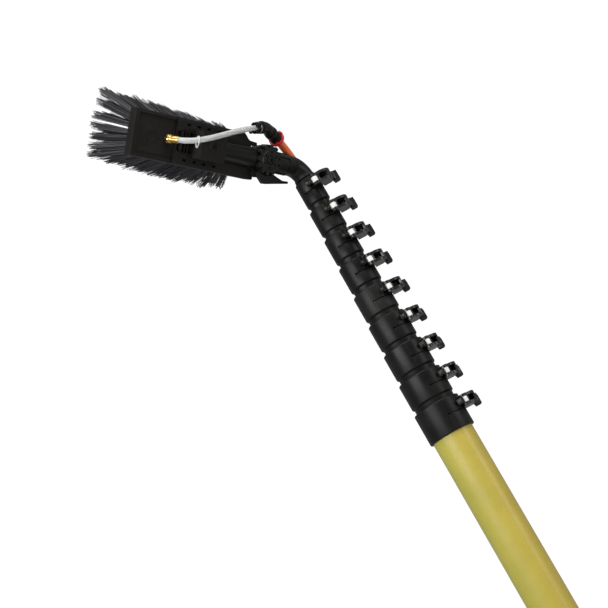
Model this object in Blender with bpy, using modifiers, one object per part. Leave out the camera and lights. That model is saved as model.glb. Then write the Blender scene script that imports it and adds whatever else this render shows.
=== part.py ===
"""Telescopic water-fed window cleaning pole with its angled brush head.

Metres, +Z up. The pole stands along +Z with the middle of its butt cap at the origin, and the brush
reaches out along +X from the gooseneck at the top. Ten tubes slide in one another. Each tube but the
tip ends in a split collar, which a cam lever closes on the next smaller tube.
"""

import math

import bmesh
import bpy
from mathutils import Matrix, Vector

# ---------------------------------------------------------------- driving dimensions
SECTIONS = 10
SIDES = 20  # facets round every tube and collar, all in one phase so that the sections nest
TIP_OD = 0.0250
OD_STEP = 0.0041
WALL = 0.0017
TUBE_LENGTH = 1.490
GAP = 0.0003  # clearance left between neighbouring pieces

BUTT_FLOOR = 0.006
BUTT_HEIGHT = 0.052
BUTT_WALL = 0.003
HOSE_OUTLET_RADIUS = 0.0065
HOSE_OUTLET_OFFSET = 0.0185

PITCH = 0.048  # from one collar to the next on the closed pole
COLLAR_WALL = 0.004  # over the tube it is bonded to
SHOULDER = 0.030  # from a collar's top face down to the end of its own tube
SLIT_DEPTH = 0.0200
SLIT_WIDTH = 0.0014
SLIT_HALF_ANGLE = math.radians(44)
NECK_HEIGHT = 0.0066
NECK_STEP = 0.0026
COLLAR_CHAMFER = 0.0010
COLLAR_TURNS_DEG = (42, 52, 58, 64, 71, 82, 87, 90, 92)  # each clamp about the pole, tip first

CLAMP_DROP = 0.0004  # each clamp sits this much lower on its collar than the one above
EAR_GAP = 0.0016
EAR_THICKNESS = 0.0024
EAR_REACH = 0.0088
EAR_TOP, EAR_BOTTOM = -0.0073, -0.0157  # below the collar's top, as the barrel
BOLT_REACH = 0.0055  # bolt axis outside the collar
BOLT_RADIUS = 0.0019
BARREL_RADIUS = 0.0050
BARREL_OFFSET = 0.0088  # barrel axis beside the split
PIVOT_RADIUS = 0.0020
NUT_ACROSS = 0.0060
NUT_HEIGHT = 0.0030

LEVER_TOP, LEVER_BOTTOM = -0.0030, -0.0200
FLANGE_THICKNESS = 0.0040
LEVER_BOSS = 0.0054
LEVER_GAP = 0.0014  # between the closed lever and its collar
LEVER_WIDTH = 0.0115
LEVER_BULGE = 0.0085
LEVER_ARC = 0.0300  # length along the collar
LEVER_START = 0.10  # radians past the hinge where the outer edge leaves the boss
LEVER_WEB = 0.0030
WEB_FROM, WEB_TO = 0.34, 0.98  # shares of the outer edge that the web closes
TAB_REACH = 0.0250
TAB_THICKNESS = 0.0032
TAB_DROP = 0.0045

BEND_HEIGHT = 0.0240  # bend point of the gooseneck above the top collar
BEND_RADIUS = 0.0270
NECK_RADIUS = 0.0152
NECK_ARM = 0.0750  # bend point to knuckle
SPIGOT_LENGTH = 0.045
PORT_RADIUS = 0.0064

BRUSH_RISE = math.radians(14.52)  # brush axis above the horizontal
BRUSH_ROLL = math.radians(51.8)  # bristles turned about the brush axis

DISC_RADIUS = 0.0205
DISC_LOW, DISC_HIGH = -0.0008, 0.0130  # gooseneck side of the knuckle
RELIEF_RADIUS = 0.0230
KNUCKLE_BORE = 0.0043
KNOB_TEETH = 12
KNOB_RADIUS, KNOB_ROOT = 0.0222, 0.0186
SOCKET_RADIUS = 0.0150
SOCKET_END = 0.1220

BLOCK_START, BLOCK_END = 0.0400, 0.2310
BLOCK_HALF = 0.0320
BLOCK_BACK, BLOCK_FRONT = 0.0030, 0.0170
RAIL_START, RAIL_END = 0.0140, 0.1600
RAIL_BACK, RAIL_FRONT = -0.0005, 0.0130
RAIL_INNER = 0.0158
FITTING_X = 0.1700
FITTING_TILT = 0.5  # radians that the barb leans to the neck end

BRISTLE_ROWS, BRISTLE_COLUMNS = 7, 18
BRISTLE_LENGTH = 0.060
BRISTLE_PLATE = 0.0015
SIDE_FLARE = math.radians(18)
UPPER_FLARE = math.radians(15)  # further lean of the upper side's tufts at the free end
LOWER_FLARE = math.radians(9)  # further lean of the lower side's tufts at the neck end
END_FLARE = math.radians(33)
NECK_FLARE = math.radians(22)
END_FAN_FROM, NECK_FAN_TO = 0.62, 0.30  # shares of the block's length where the tufts start to fan
TUFT_SHARE = 0.72  # of a tuft's cell at its root
TUFT_SPREAD = 1.18  # tip over root

HOSE_RADIUS = 0.0040
RISER_RADIUS = 0.0060

MM = 0.001


def tube_radius(k):
    """Outer radius of tube k, counted from 1 at the tip."""
    return (TIP_OD + OD_STEP * (k - 1)) / 2


BASE_TOP = BUTT_FLOOR + GAP + TUBE_LENGTH
LAST_COLLAR_TOP = BASE_TOP + SHOULDER
COLLARS = SECTIONS - 1
FIRST_COLLAR_TOP = LAST_COLLAR_TOP + PITCH * (COLLARS - 1)


def collar_top(k):
    return LAST_COLLAR_TOP + PITCH * (COLLARS - k)


def tube_top(k):
    """The tip tube stands just clear of the top collar, the others end at their collar's shoulder."""
    if k == 1:
        return FIRST_COLLAR_TOP + 2 * MM
    return collar_top(k - 1) - SHOULDER


# ---------------------------------------------------------------- scene, collections, materials
for old in list(bpy.data.objects):
    bpy.data.objects.remove(old, do_unlink=True)

parts = bpy.data.collections.new("window_cleaning_pole")
cutters = bpy.data.collections.new("cutters")
for collection in (parts, cutters):
    bpy.context.scene.collection.children.link(collection)


def material(name, colour, roughness, metallic=0.0, transmission=0.0):
    made = bpy.data.materials.new(name)
    made.use_nodes = True
    shader = made.node_tree.nodes["Principled BSDF"]
    shader.inputs["Base Color"].default_value = (*colour, 1.0)
    shader.inputs["Roughness"].default_value = roughness
    shader.inputs["Metallic"].default_value = metallic
    shader.inputs["Transmission Weight"].default_value = transmission
    return made


COLLAR_BLACK = material("collar_black", (0.014, 0.014, 0.013), 0.45)
LEVER_BLACK = material("lever_black", (0.016, 0.016, 0.016), 0.35)
CARBON = material("carbon_tube", (0.012, 0.012, 0.013), 0.30)
ARAMID = material("aramid_tube", (0.57, 0.51, 0.08), 0.42)
STEEL = material("steel", (0.62, 0.62, 0.60), 0.30, 1.0)
BARREL_GREY = material("barrel_grey", (0.72, 0.72, 0.67), 0.32)
HEAD_BLACK = material("head_black", (0.012, 0.012, 0.011), 0.48)
BLOCK_BLACK = material("block_black", (0.018, 0.015, 0.011), 0.62)
BRISTLE = material("bristle", (0.032, 0.032, 0.040), 0.60)
RUBBER = material("butt_rubber", (0.020, 0.020, 0.020), 0.75)
ORANGE = material("orange_hose", (0.90, 0.10, 0.02), 0.38)
CRIMSON = material("crimson_clip", (0.58, 0.01, 0.03), 0.35)
BRASS = material("brass", (0.66, 0.44, 0.16), 0.28, 1.0)
CLEAR = material("clear_hose", (0.86, 0.88, 0.88), 0.15, 0.0, 0.6)
LOOP_CLEAR = material("clear_loop", (0.80, 0.82, 0.82), 0.25, 0.0, 0.5)


# ---------------------------------------------------------------- shape helpers
def place(thing, matrix, parent=None):
    thing.matrix_world = matrix
    if parent is not None:
        thing.parent = parent
        thing.matrix_local = matrix
    return thing


def file_under(thing, mat):
    """Puts an object with the parts, or with the cutters when it has no material."""
    for collection in list(thing.users_collection):
        collection.objects.unlink(thing)
    if mat is None:
        cutters.objects.link(thing)
        thing.hide_render = True
        thing.display_type = "WIRE"
    else:
        parts.objects.link(thing)
        thing.data.materials.clear()
        thing.data.materials.append(mat)
    return thing


def from_bmesh(name, mesh, mat, matrix, parent=None):
    data = bpy.data.meshes.new(name)
    mesh.to_mesh(data)
    mesh.free()
    made = bpy.data.objects.new(name, data)
    file_under(made, mat)
    return place(made, matrix, parent)


def turned(name, profile, mat, matrix=Matrix(), parent=None, sides=SIDES):
    """A profile of (radius, height) points, outer side first and downwards, turned about Z."""
    mesh = bmesh.new()
    points = [mesh.verts.new((radius, 0, height)) for radius, height in profile]
    for i, point in enumerate(points):
        following = points[(i + 1) % len(points)]
        if point.co.x > 0 or following.co.x > 0:
            mesh.edges.new((point, following))
    made = from_bmesh(name, mesh, mat, matrix, parent)
    turn = made.modifiers.new("turn", "SCREW")
    turn.axis = "Z"
    turn.angle = math.tau
    turn.steps = sides
    turn.render_steps = sides
    turn.use_merge_vertices = True
    turn.merge_threshold = 0.00001
    return made


def rod(name, radius, start, end, mat=None, matrix=Matrix(), parent=None, sides=16, end_radius=None):
    """A closed cylinder, or a cone, between two points."""
    start, end = Vector(start), Vector(end)
    mesh = bmesh.new()
    bmesh.ops.create_cone(
        mesh,
        cap_ends=True,
        segments=sides,
        radius1=radius,
        radius2=radius if end_radius is None else end_radius,
        depth=(end - start).length,
    )
    aim = (end - start).to_track_quat("Z", "Y").to_matrix().to_4x4()
    mesh.transform(Matrix.Translation((start + end) / 2) @ aim)
    return from_bmesh(name, mesh, mat, matrix, parent)


def box(name, low, high, mat=None, matrix=Matrix(), parent=None):
    low, high = Vector(low), Vector(high)
    mesh = bmesh.new()
    bmesh.ops.create_cube(mesh, size=1.0)
    size = high - low
    mesh.transform(Matrix.Translation((low + high) / 2) @ Matrix.Diagonal((*size, 1.0)))
    return from_bmesh(name, mesh, mat, matrix, parent)


def as_mesh(curve_object, mat, matrix, parent):
    """Replaces a curve object by its welded mesh."""
    bpy.context.view_layer.update()
    evaluated = curve_object.evaluated_get(bpy.context.evaluated_depsgraph_get())
    data = bpy.data.meshes.new_from_object(evaluated)
    welded = bmesh.new()
    welded.from_mesh(data)
    bmesh.ops.remove_doubles(welded, verts=welded.verts, dist=0.000001)
    bmesh.ops.recalc_face_normals(welded, faces=welded.faces)
    welded.transform(curve_object.matrix_world)
    name = curve_object.name
    bpy.data.objects.remove(curve_object, do_unlink=True)
    return from_bmesh(name, welded, mat, matrix, parent)


def plate(name, outlines, low, high, mat=None, matrix=Matrix(), parent=None):
    """A flat outline in XY, with holes as further outlines, from height low to high."""
    curve = bpy.data.curves.new(name, "CURVE")
    curve.dimensions = "2D"
    curve.fill_mode = "BOTH"
    curve.extrude = (high - low) / 2
    for outline in outlines:
        spline = curve.splines.new("POLY")
        spline.points.add(len(outline) - 1)
        for point, (x, y) in zip(spline.points, outline, strict=True):
            point.co = (x, y, 0, 1)
        spline.use_cyclic_u = True
    made = bpy.data.objects.new(name, curve)
    parts.objects.link(made)
    made.location.z = (low + high) / 2
    return as_mesh(made, mat, matrix, parent)


def tube_along(name, points, radius, mat=None, matrix=Matrix(), parent=None, resolution=2):
    """A solid round bar along a smooth run of points."""
    curve = bpy.data.curves.new(name, "CURVE")
    curve.dimensions = "3D"
    curve.bevel_depth = radius
    curve.bevel_resolution = resolution
    curve.use_fill_caps = True
    spline = curve.splines.new("POLY")
    spline.points.add(len(points) - 1)
    for point, place_at in zip(spline.points, points, strict=True):
        point.co = (*place_at, 1)
    made = bpy.data.objects.new(name, curve)
    parts.objects.link(made)
    return as_mesh(made, mat, matrix, parent)


def boolean(target, tool, operation):
    step = target.modifiers.new(operation.lower(), "BOOLEAN")
    step.operation = operation
    step.solver = "EXACT"
    step.object = tool
    return target


def cut(target, *tools):
    for tool in tools:
        boolean(target, tool, "DIFFERENCE")


def join(target, *tools):
    for tool in tools:
        boolean(target, tool, "UNION")


def circle(radius, sides, centre=(0, 0)):
    turns = [math.tau * i / sides for i in range(sides)]
    return [(centre[0] + radius * math.cos(t), centre[1] + radius * math.sin(t)) for t in turns]


def bezier(start, first, second, end, count):
    """Evenly spaced parameters on a cubic curve."""
    start, first, second, end = (Vector(v) for v in (start, first, second, end))
    points = []
    for i in range(count):
        t = i / (count - 1)
        s = 1 - t
        points.append(start * s**3 + first * 3 * s * s * t + second * 3 * s * t * t + end * t**3)
    return points


# ---------------------------------------------------------------- tubes and butt cap
def make_tube(k):
    outer = tube_radius(k)
    top = tube_top(k)
    bottom = top - TUBE_LENGTH
    inner = outer - WALL
    ring = ((outer, top), (outer, bottom), (inner, bottom), (inner, top))
    turned(f"tube_{k:02d}", ring, ARAMID if k == SECTIONS else CARBON)


for section in range(1, SECTIONS + 1):
    make_tube(section)

cap_inner = tube_radius(SECTIONS) + GAP
cap_outer = cap_inner + BUTT_WALL
butt = turned(
    "butt_cap",
    (
        (0, BUTT_FLOOR),
        (cap_inner, BUTT_FLOOR),
        (cap_inner, BUTT_HEIGHT),
        (cap_outer - 1 * MM, BUTT_HEIGHT),
        (cap_outer, BUTT_HEIGHT - 1 * MM),
        (cap_outer, 2 * MM),
        (cap_outer - 2 * MM, 0),
        (0, 0),
    ),
    RUBBER,
)
outlet = (0, -HOSE_OUTLET_OFFSET)
cut(
    butt,
    rod("butt_outlet", HOSE_OUTLET_RADIUS, (*outlet, -BUTT_FLOOR), (*outlet, 2 * BUTT_FLOOR), sides=32),
)


# ---------------------------------------------------------------- collars and their clamps
def make_collar(k, clamp):
    """The collar bonded on tube k + 1, which grips tube k. clamp places its split and its ears."""
    top = collar_top(k)
    own = tube_radius(k + 1)
    outer = own + COLLAR_WALL
    grip = tube_radius(k) + GAP
    bottom = top - PITCH + GAP
    shoulder = top - SHOULDER + GAP
    profile = [(outer - COLLAR_CHAMFER, top), (outer, top - COLLAR_CHAMFER)]
    if k == COLLARS:
        profile += [(outer, bottom + COLLAR_CHAMFER), (outer - COLLAR_CHAMFER, bottom)]
    else:
        step = bottom + NECK_HEIGHT
        profile += [(outer, step + NECK_STEP), (outer - NECK_STEP, step), (outer - NECK_STEP, bottom)]
    profile += [(own + GAP, bottom), (own + GAP, shoulder), (grip, shoulder), (grip, top)]
    collar = turned(f"collar_{k}", profile, COLLAR_BLACK)

    ear_side = EAR_GAP / 2 + EAR_THICKNESS
    join(
        collar,
        box(
            f"collar_{k}_ears",
            (outer - 2 * MM, -ear_side, EAR_BOTTOM),
            (outer + EAR_REACH, ear_side, EAR_TOP),
            matrix=clamp,
        ),
    )
    wedge = [(0, 0)]
    for i in range(7):
        turn = SLIT_HALF_ANGLE * (i / 3 - 1)
        wedge.append((2 * outer * math.cos(turn), 2 * outer * math.sin(turn)))
    cut(
        collar,
        plate(f"collar_{k}_slit", [wedge], -SLIT_DEPTH - SLIT_WIDTH, -SLIT_DEPTH, matrix=clamp),
        box(
            f"collar_{k}_split",
            (0, -EAR_GAP / 2, -SLIT_DEPTH - SLIT_WIDTH / 2),
            (2 * outer, EAR_GAP / 2, 9 * MM),
            matrix=clamp,
        ),
        rod(
            f"collar_{k}_bolt_hole",
            BOLT_RADIUS + GAP,
            (outer + BOLT_REACH, -2 * ear_side, (EAR_TOP + EAR_BOTTOM) / 2),
            (outer + BOLT_REACH, 2 * ear_side, (EAR_TOP + EAR_BOTTOM) / 2),
            matrix=clamp,
            sides=10,
        ),
    )


def make_bolt(k, hinge, reach):
    """T-bolt: an upright barrel with pivot ends, and a shank through both ears, in hinge space."""
    middle = (EAR_TOP + EAR_BOTTOM) / 2
    barrel = turned(
        f"t_bolt_{k}",
        (
            (0, LEVER_TOP),
            (PIVOT_RADIUS, LEVER_TOP),
            (PIVOT_RADIUS, EAR_TOP),
            (BARREL_RADIUS, EAR_TOP),
            (BARREL_RADIUS, EAR_BOTTOM),
            (PIVOT_RADIUS, EAR_BOTTOM),
            (PIVOT_RADIUS, LEVER_BOTTOM),
            (0, LEVER_BOTTOM),
        ),
        BARREL_GREY,
        hinge,
        sides=12,
    )
    join(
        barrel,
        rod(f"t_bolt_{k}_shank", BOLT_RADIUS, (0, -reach, middle), (0, 0, middle), None, hinge, sides=10),
    )
    nut_face = -BARREL_OFFSET - EAR_GAP / 2 - EAR_THICKNESS - GAP
    nut = rod(
        f"adjuster_{k}",
        NUT_ACROSS / 2,
        (0, nut_face - NUT_HEIGHT, middle),
        (0, nut_face, middle),
        STEEL,
        hinge,
        sides=6,
    )
    cut(
        nut,
        rod(
            f"adjuster_{k}_bore",
            BOLT_RADIUS + GAP,
            (0, nut_face - 2 * NUT_HEIGHT, middle),
            (0, nut_face + NUT_HEIGHT, middle),
            None,
            hinge,
            sides=10,
        ),
    )


def make_lever(k, hinge, outer):
    """Cam lever round its barrel: two flanges that follow the collar, a web and a thumb tab."""
    axis_x, axis_y = outer + BOLT_REACH, BARREL_OFFSET
    hinge_radius = math.hypot(axis_x, axis_y)
    hinge_turn = math.atan2(axis_y, axis_x)
    inner = outer + LEVER_GAP
    far_turn = hinge_turn + LEVER_ARC / hinge_radius

    def polar(radius, turn):
        return (radius * math.cos(turn) - axis_x, radius * math.sin(turn) - axis_y)

    first_turn = hinge_turn + LEVER_START

    def outer_edge(share):
        turn = first_turn + (far_turn - first_turn) * share
        return polar(inner + LEVER_WIDTH + LEVER_BULGE * math.sin(math.pi * share) ** 0.8, turn)

    start_in = hinge_turn + LEVER_BOSS * 0.55 / inner
    arc_steps = 6
    outline = [outer_edge(i / arc_steps) for i in range(arc_steps + 1)]
    for i in range(arc_steps + 1):
        share = 1 - i / arc_steps
        outline.append(polar(inner, start_in + (far_turn - start_in) * share))
    boss_from = math.atan2(outline[-1][1], outline[-1][0])
    boss_to = math.atan2(outline[0][1], outline[0][0])
    sweep = (boss_to - boss_from) % math.tau
    boss_steps = 8
    for i in range(1, boss_steps):
        turn = boss_from + sweep * i / boss_steps
        outline.append((LEVER_BOSS * math.cos(turn), LEVER_BOSS * math.sin(turn)))
    hole = circle(PIVOT_RADIUS + GAP, 10)

    flange_low = LEVER_TOP - FLANGE_THICKNESS
    lever = plate(f"lever_{k}", [outline, hole], flange_low, LEVER_TOP, LEVER_BLACK, hinge)
    lower = plate(
        f"lever_{k}_lower", [outline, hole], LEVER_BOTTOM, LEVER_BOTTOM + FLANGE_THICKNESS, matrix=hinge
    )
    web_steps = 5
    web_shares = [WEB_FROM + (WEB_TO - WEB_FROM) * i / web_steps for i in range(web_steps + 1)]
    web = []
    for depth, shares in ((0.2 * MM, web_shares), (LEVER_WEB, reversed(web_shares))):
        for share in shares:
            edge = Vector(outer_edge(share))
            outward = (edge + Vector((axis_x, axis_y))).normalized()
            web.append(edge - outward * depth)
    shell = plate(
        f"lever_{k}_web", [web], LEVER_BOTTOM + 0.5 * MM, LEVER_TOP - 0.5 * MM, matrix=hinge
    )
    tab_turn = far_turn - 0.55 * TAB_THICKNESS / (inner + LEVER_WIDTH)
    tab_half = TAB_THICKNESS / 2
    tab_from = Vector(polar(inner + 0.6 * LEVER_WIDTH, tab_turn))
    tab_to = Vector(polar(outer + TAB_REACH, tab_turn))
    side = (tab_to - tab_from).normalized().orthogonal() * tab_half
    tab = [tab_from - side, tab_to - side, tab_to + side, tab_from + side]
    thumb = plate(
        f"lever_{k}_tab", [tab], LEVER_BOTTOM - TAB_DROP, LEVER_TOP - 1.5 * MM, matrix=hinge
    )
    join(lever, lower, shell, thumb)


for number, turn_deg in enumerate(COLLAR_TURNS_DEG, start=1):
    collar_radius = tube_radius(number + 1) + COLLAR_WALL
    clamp_height = collar_top(number) - CLAMP_DROP * (number - 1)
    clamp_place = Matrix.Translation((0, 0, clamp_height)) @ Matrix.Rotation(math.radians(turn_deg), 4, "Z")
    hinge_place = clamp_place @ Matrix.Translation((collar_radius + BOLT_REACH, BARREL_OFFSET, 0))
    make_collar(number, clamp_place)
    make_bolt(number, hinge_place, BARREL_OFFSET + EAR_GAP / 2 + EAR_THICKNESS + NUT_HEIGHT + 2 * GAP)
    make_lever(number, hinge_place, collar_radius)


# ---------------------------------------------------------------- gooseneck
bend_point = Vector((0, 0, FIRST_COLLAR_TOP + BEND_HEIGHT))
brush_axis = Vector((math.cos(BRUSH_RISE), 0, math.sin(BRUSH_RISE)))
lean = Vector((-math.sin(BRUSH_RISE), 0, math.cos(BRUSH_RISE)))
bristle_axis = lean * math.cos(BRUSH_ROLL) - Vector((0, 1, 0)) * math.sin(BRUSH_ROLL)
width_axis = bristle_axis.cross(brush_axis)
knuckle_point = bend_point + brush_axis * NECK_ARM
head_place = Matrix((brush_axis, width_axis, bristle_axis)).transposed().to_4x4()
head_place.translation = knuckle_point

head = bpy.data.objects.new("head_frame", None)
parts.objects.link(head)
head.matrix_world = head_place
to_head = head_place.inverted()
LOCAL = Matrix()

bend_angle = math.pi / 2 - BRUSH_RISE
tangent = BEND_RADIUS * math.tan(bend_angle / 2)
bend_centre = bend_point + Vector((BEND_RADIUS, 0, -tangent))
neck_path = [Vector((0, 0, FIRST_COLLAR_TOP + 2 * MM + GAP))]
bend_steps = 8
for i in range(bend_steps + 1):
    turn = bend_angle * i / bend_steps
    neck_path.append(bend_centre + BEND_RADIUS * Vector((-math.cos(turn), 0, math.sin(turn))))
neck_path.append(knuckle_point - brush_axis * 12 * MM)
gooseneck = tube_along("gooseneck", neck_path, NECK_RADIUS, HEAD_BLACK, resolution=4)

port_start = bend_point + Vector((-2, -1, -10)) * MM
port_aim = Vector((0.38, 0.17, 0.91)).normalized()
riser_end = bend_point + Vector((0.0432, 0.0202, 0.0402))
elbow_corner = bend_point + Vector((0.0773, 0.0364, 0.0504))
outlet_local = Vector((0.0355, 0.0400, -0.0150))
leg_aim = (elbow_corner - riser_end).normalized()
outlet_end = head_place @ outlet_local
outlet_aim = (outlet_end - elbow_corner).normalized()
riser_tip = riser_end + leg_aim * 8 * MM

riser_start = port_start + port_aim * 3 * MM
riser_leave = port_start + port_aim * 24 * MM
riser_enter = riser_end - leg_aim * 3 * MM
riser_points = [riser_start]
riser_points += bezier(
    riser_leave, riser_leave + port_aim * 13 * MM, riser_enter - leg_aim * 13 * MM, riser_enter, 10
)
riser_points.append(riser_tip)
spigot_radius = tube_radius(1) - WALL - GAP
spigot_top = FIRST_COLLAR_TOP + 4 * MM
inset = 0.2 * MM  # the relief cuts end just inside each disc


def knuckle_relief(name, low, high):
    """Clears the knuckle's own space on one side of a disc."""
    return rod(name, RELIEF_RADIUS, (0, 0, low), (0, 0, high), None, LOCAL, head, 24)


def knuckle_rod(name, radius, low, high, sides=12, end_radius=None):
    """A cylinder on the knuckle's axis."""
    return rod(name, radius, (0, 0, low), (0, 0, high), None, LOCAL, head, sides, end_radius)


join(
    gooseneck,
    rod("spigot", spigot_radius, (0, 0, spigot_top - SPIGOT_LENGTH), (0, 0, spigot_top), sides=20),
)
cut(
    gooseneck,
    knuckle_relief("neck_relief_back", -0.03, DISC_LOW + inset),
    knuckle_relief("neck_relief_front", DISC_HIGH - inset, 0.03),
)
join(gooseneck, knuckle_rod("neck_disc", DISC_RADIUS, DISC_LOW, DISC_HIGH, 24))
cut(
    gooseneck,
    rod("pole_bore", PORT_RADIUS, (0, 0, spigot_top - 0.06), (0, 0, bend_point.z - 3 * MM), sides=13),
    tube_along("hose_port", [port_start, *riser_points], PORT_RADIUS),
    knuckle_rod("knuckle_bore", KNUCKLE_BORE, -0.03, 0.03),
)
groove_count = 3
for i in range(groove_count):
    groove_turn = math.radians(62 + 36 * i)
    centre = Vector((-0.031, NECK_RADIUS * math.sin(groove_turn), -NECK_RADIUS * math.cos(groove_turn)))
    half = Vector((0.0085, 0.0017, 0.0017))
    cut(gooseneck, box(f"neck_groove_{i}", centre - half, centre + half, None, LOCAL, head))


# ---------------------------------------------------------------- knuckle and brush socket
shell_low, shell_high = -0.0100, -0.0014
socket = rod("brush_socket", SOCKET_RADIUS, (0.006, 0, 0), (SOCKET_END, 0, 0), HEAD_BLACK, LOCAL, head, 20)
cut(
    socket,
    knuckle_relief("socket_relief_front", shell_high - inset, 0.03),
    knuckle_relief("socket_relief_back", -0.03, shell_low + inset),
)
latch_pivot = Vector((0.0139, -0.0218, 0))
join(
    socket,
    knuckle_rod("socket_disc", DISC_RADIUS, shell_low, shell_high, 24),
    rod(
        "latch_lug",
        6.0 * MM,
        latch_pivot + Vector((0, 0, -0.0070)),
        latch_pivot + Vector((0, 0, shell_high)),
        None,
        LOCAL,
        head,
        12,
    ),
    rod(
        "latch_pin",
        2.0 * MM,
        latch_pivot + Vector((0, 0, -0.0150)),
        latch_pivot + Vector((0, 0, -0.0060)),
        None,
        LOCAL,
        head,
        10,
    ),
)
cut(
    socket,
    knuckle_rod("socket_bore", KNUCKLE_BORE, -0.03, 0.03),
    rod("socket_hollow", SOCKET_RADIUS - 2.5 * MM, (0.040, 0, 0), (0.150, 0, 0), None, LOCAL, head, 14),
)

# The latch hooks round the knob and runs back in a tail under the gooseneck.
latch_outline = [
    (0.0114, -0.0198),
    (0.0146, -0.0186),
    (0.0167, -0.0198),
    (0.0172, -0.0224),
    (0.0156, -0.0249),
    (0.0023, -0.0350),
    (-0.0438, -0.0279),
    (-0.0431, -0.0246),
    (-0.0322, -0.0250),
    (-0.0132, -0.0190),
    (-0.0071, -0.0219),
    (0.0, -0.0230),
    (0.0061, -0.0222),
]
plate(
    "knuckle_latch",
    [latch_outline, circle(2.0 * MM + GAP, 10, latch_pivot.xy)],
    -0.0150,
    -0.0073,
    HEAD_BLACK,
    LOCAL,
    head,
)

knob_low, knob_high = -0.0175, -0.0103
knob_outline = []
for i in range(KNOB_TEETH):
    for share, radius in ((-0.27, KNOB_RADIUS), (0.27, KNOB_RADIUS), (0.34, KNOB_ROOT), (0.66, KNOB_ROOT)):
        turn = math.tau * (i + share) / KNOB_TEETH
        knob_outline.append((radius * math.cos(turn), radius * math.sin(turn)))
knob = plate("knuckle_knob", [knob_outline], knob_low, knob_high, HEAD_BLACK, LOCAL, head)
join(knob, knuckle_rod("knob_dome", 15.0 * MM, knob_low + MM, knob_low - 1.5 * MM, 20, 12.0 * MM))
cut(
    knob,
    knuckle_rod("knob_bore", KNUCKLE_BORE, -0.04, 0),
    knuckle_rod("knob_counterbore", 7.0 * MM, -0.04, -0.0170, 16),
)
turned(
    "knuckle_bolt",
    (
        (0, 0.0150),
        (4.0 * MM, 0.0150),
        (4.0 * MM, -0.0173),
        (5.6 * MM, -0.0173),
        (5.6 * MM, -0.0196),
        (4.6 * MM, -0.0204),
        (0, -0.0204),
    ),
    STEEL,
    LOCAL,
    head,
    12,
)


# ---------------------------------------------------------------- brush block
block = box(
    "brush_block",
    (BLOCK_START, -BLOCK_HALF, BLOCK_BACK),
    (BLOCK_END, BLOCK_HALF, BLOCK_FRONT),
    BLOCK_BLACK,
    LOCAL,
    head,
)
lower_rail = [
    (RAIL_START, -BLOCK_HALF + 1.5 * MM),
    (RAIL_START + 3 * MM, -BLOCK_HALF - 0.2 * MM),
    (RAIL_END, -BLOCK_HALF - 0.2 * MM),
    (RAIL_END, -RAIL_INNER),
    (RAIL_START, -RAIL_INNER),
]
upper_rail = [
    (RAIL_START, RAIL_INNER),
    (RAIL_END, RAIL_INNER),
    (RAIL_END, BLOCK_HALF + 0.2 * MM),
    (BLOCK_START, BLOCK_HALF + 0.2 * MM),
    (BLOCK_START - 11 * MM, 0.0230),
    (RAIL_START, 0.0222),
]
join(
    block,
    plate("lower_rail", [lower_rail], RAIL_BACK, RAIL_FRONT, None, LOCAL, head),
    plate("upper_rail", [upper_rail], RAIL_BACK, RAIL_FRONT, None, LOCAL, head),
    box("socket_housing", (0.0855, -0.0195, -0.0180), (0.1290, 0.0195, 0.0060), None, LOCAL, head),
    rod("housing_boss", 7.5 * MM, (0.108, 0, -0.0170), (0.108, 0, -0.0196), None, LOCAL, head, 18, 6.5 * MM),
)
cut(
    block,
    rod("socket_seat", SOCKET_RADIUS + GAP, (0, 0, 0), (SOCKET_END + GAP, 0, 0), None, LOCAL, head, 20),
    rod("boss_recess", 3.5 * MM, (0.108, 0, -0.0300), (0.108, 0, -0.0178), None, LOCAL, head, 6),
    box("link_bay", (0.1335, -0.0150, -0.0100), (0.1555, 0.0150, 0.0075), None, LOCAL, head),
    box("back_panel", (0.1590, -0.0272, -0.0100), (0.2245, 0.0272, 0.0055), None, LOCAL, head),
    rod("jet_hole", 4.5 * MM, (FITTING_X, 0, -0.0100), (FITTING_X, 0, 0.0125), None, LOCAL, head, 12),
)
slot_count = 4
for side in (-1, 1):
    for i in range(slot_count):
        centre = Vector((0.0880 + 0.0180 * i, side * 0.0245, RAIL_BACK))
        half = Vector((0.0032, 0.0016, 0.0040))
        cut(block, box(f"rail_slot_{side + 1}_{i}", centre - half, centre + half, None, LOCAL, head))


# ---------------------------------------------------------------- bristles
def bristle_lean(along, across):
    """Lean of a tuft: fanned at the free end and at both sides."""
    to_end = max(0.0, (along - END_FAN_FROM) / (1 - END_FAN_FROM))
    to_neck = max(0.0, (NECK_FAN_TO - along) / NECK_FAN_TO)
    lean_x = math.tan(END_FLARE) * to_end - math.tan(NECK_FLARE) * to_neck
    further = UPPER_FLARE * along if across > 0 else LOWER_FLARE * (1 - along)
    return lean_x, math.tan(SIDE_FLARE + further) * across


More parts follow.
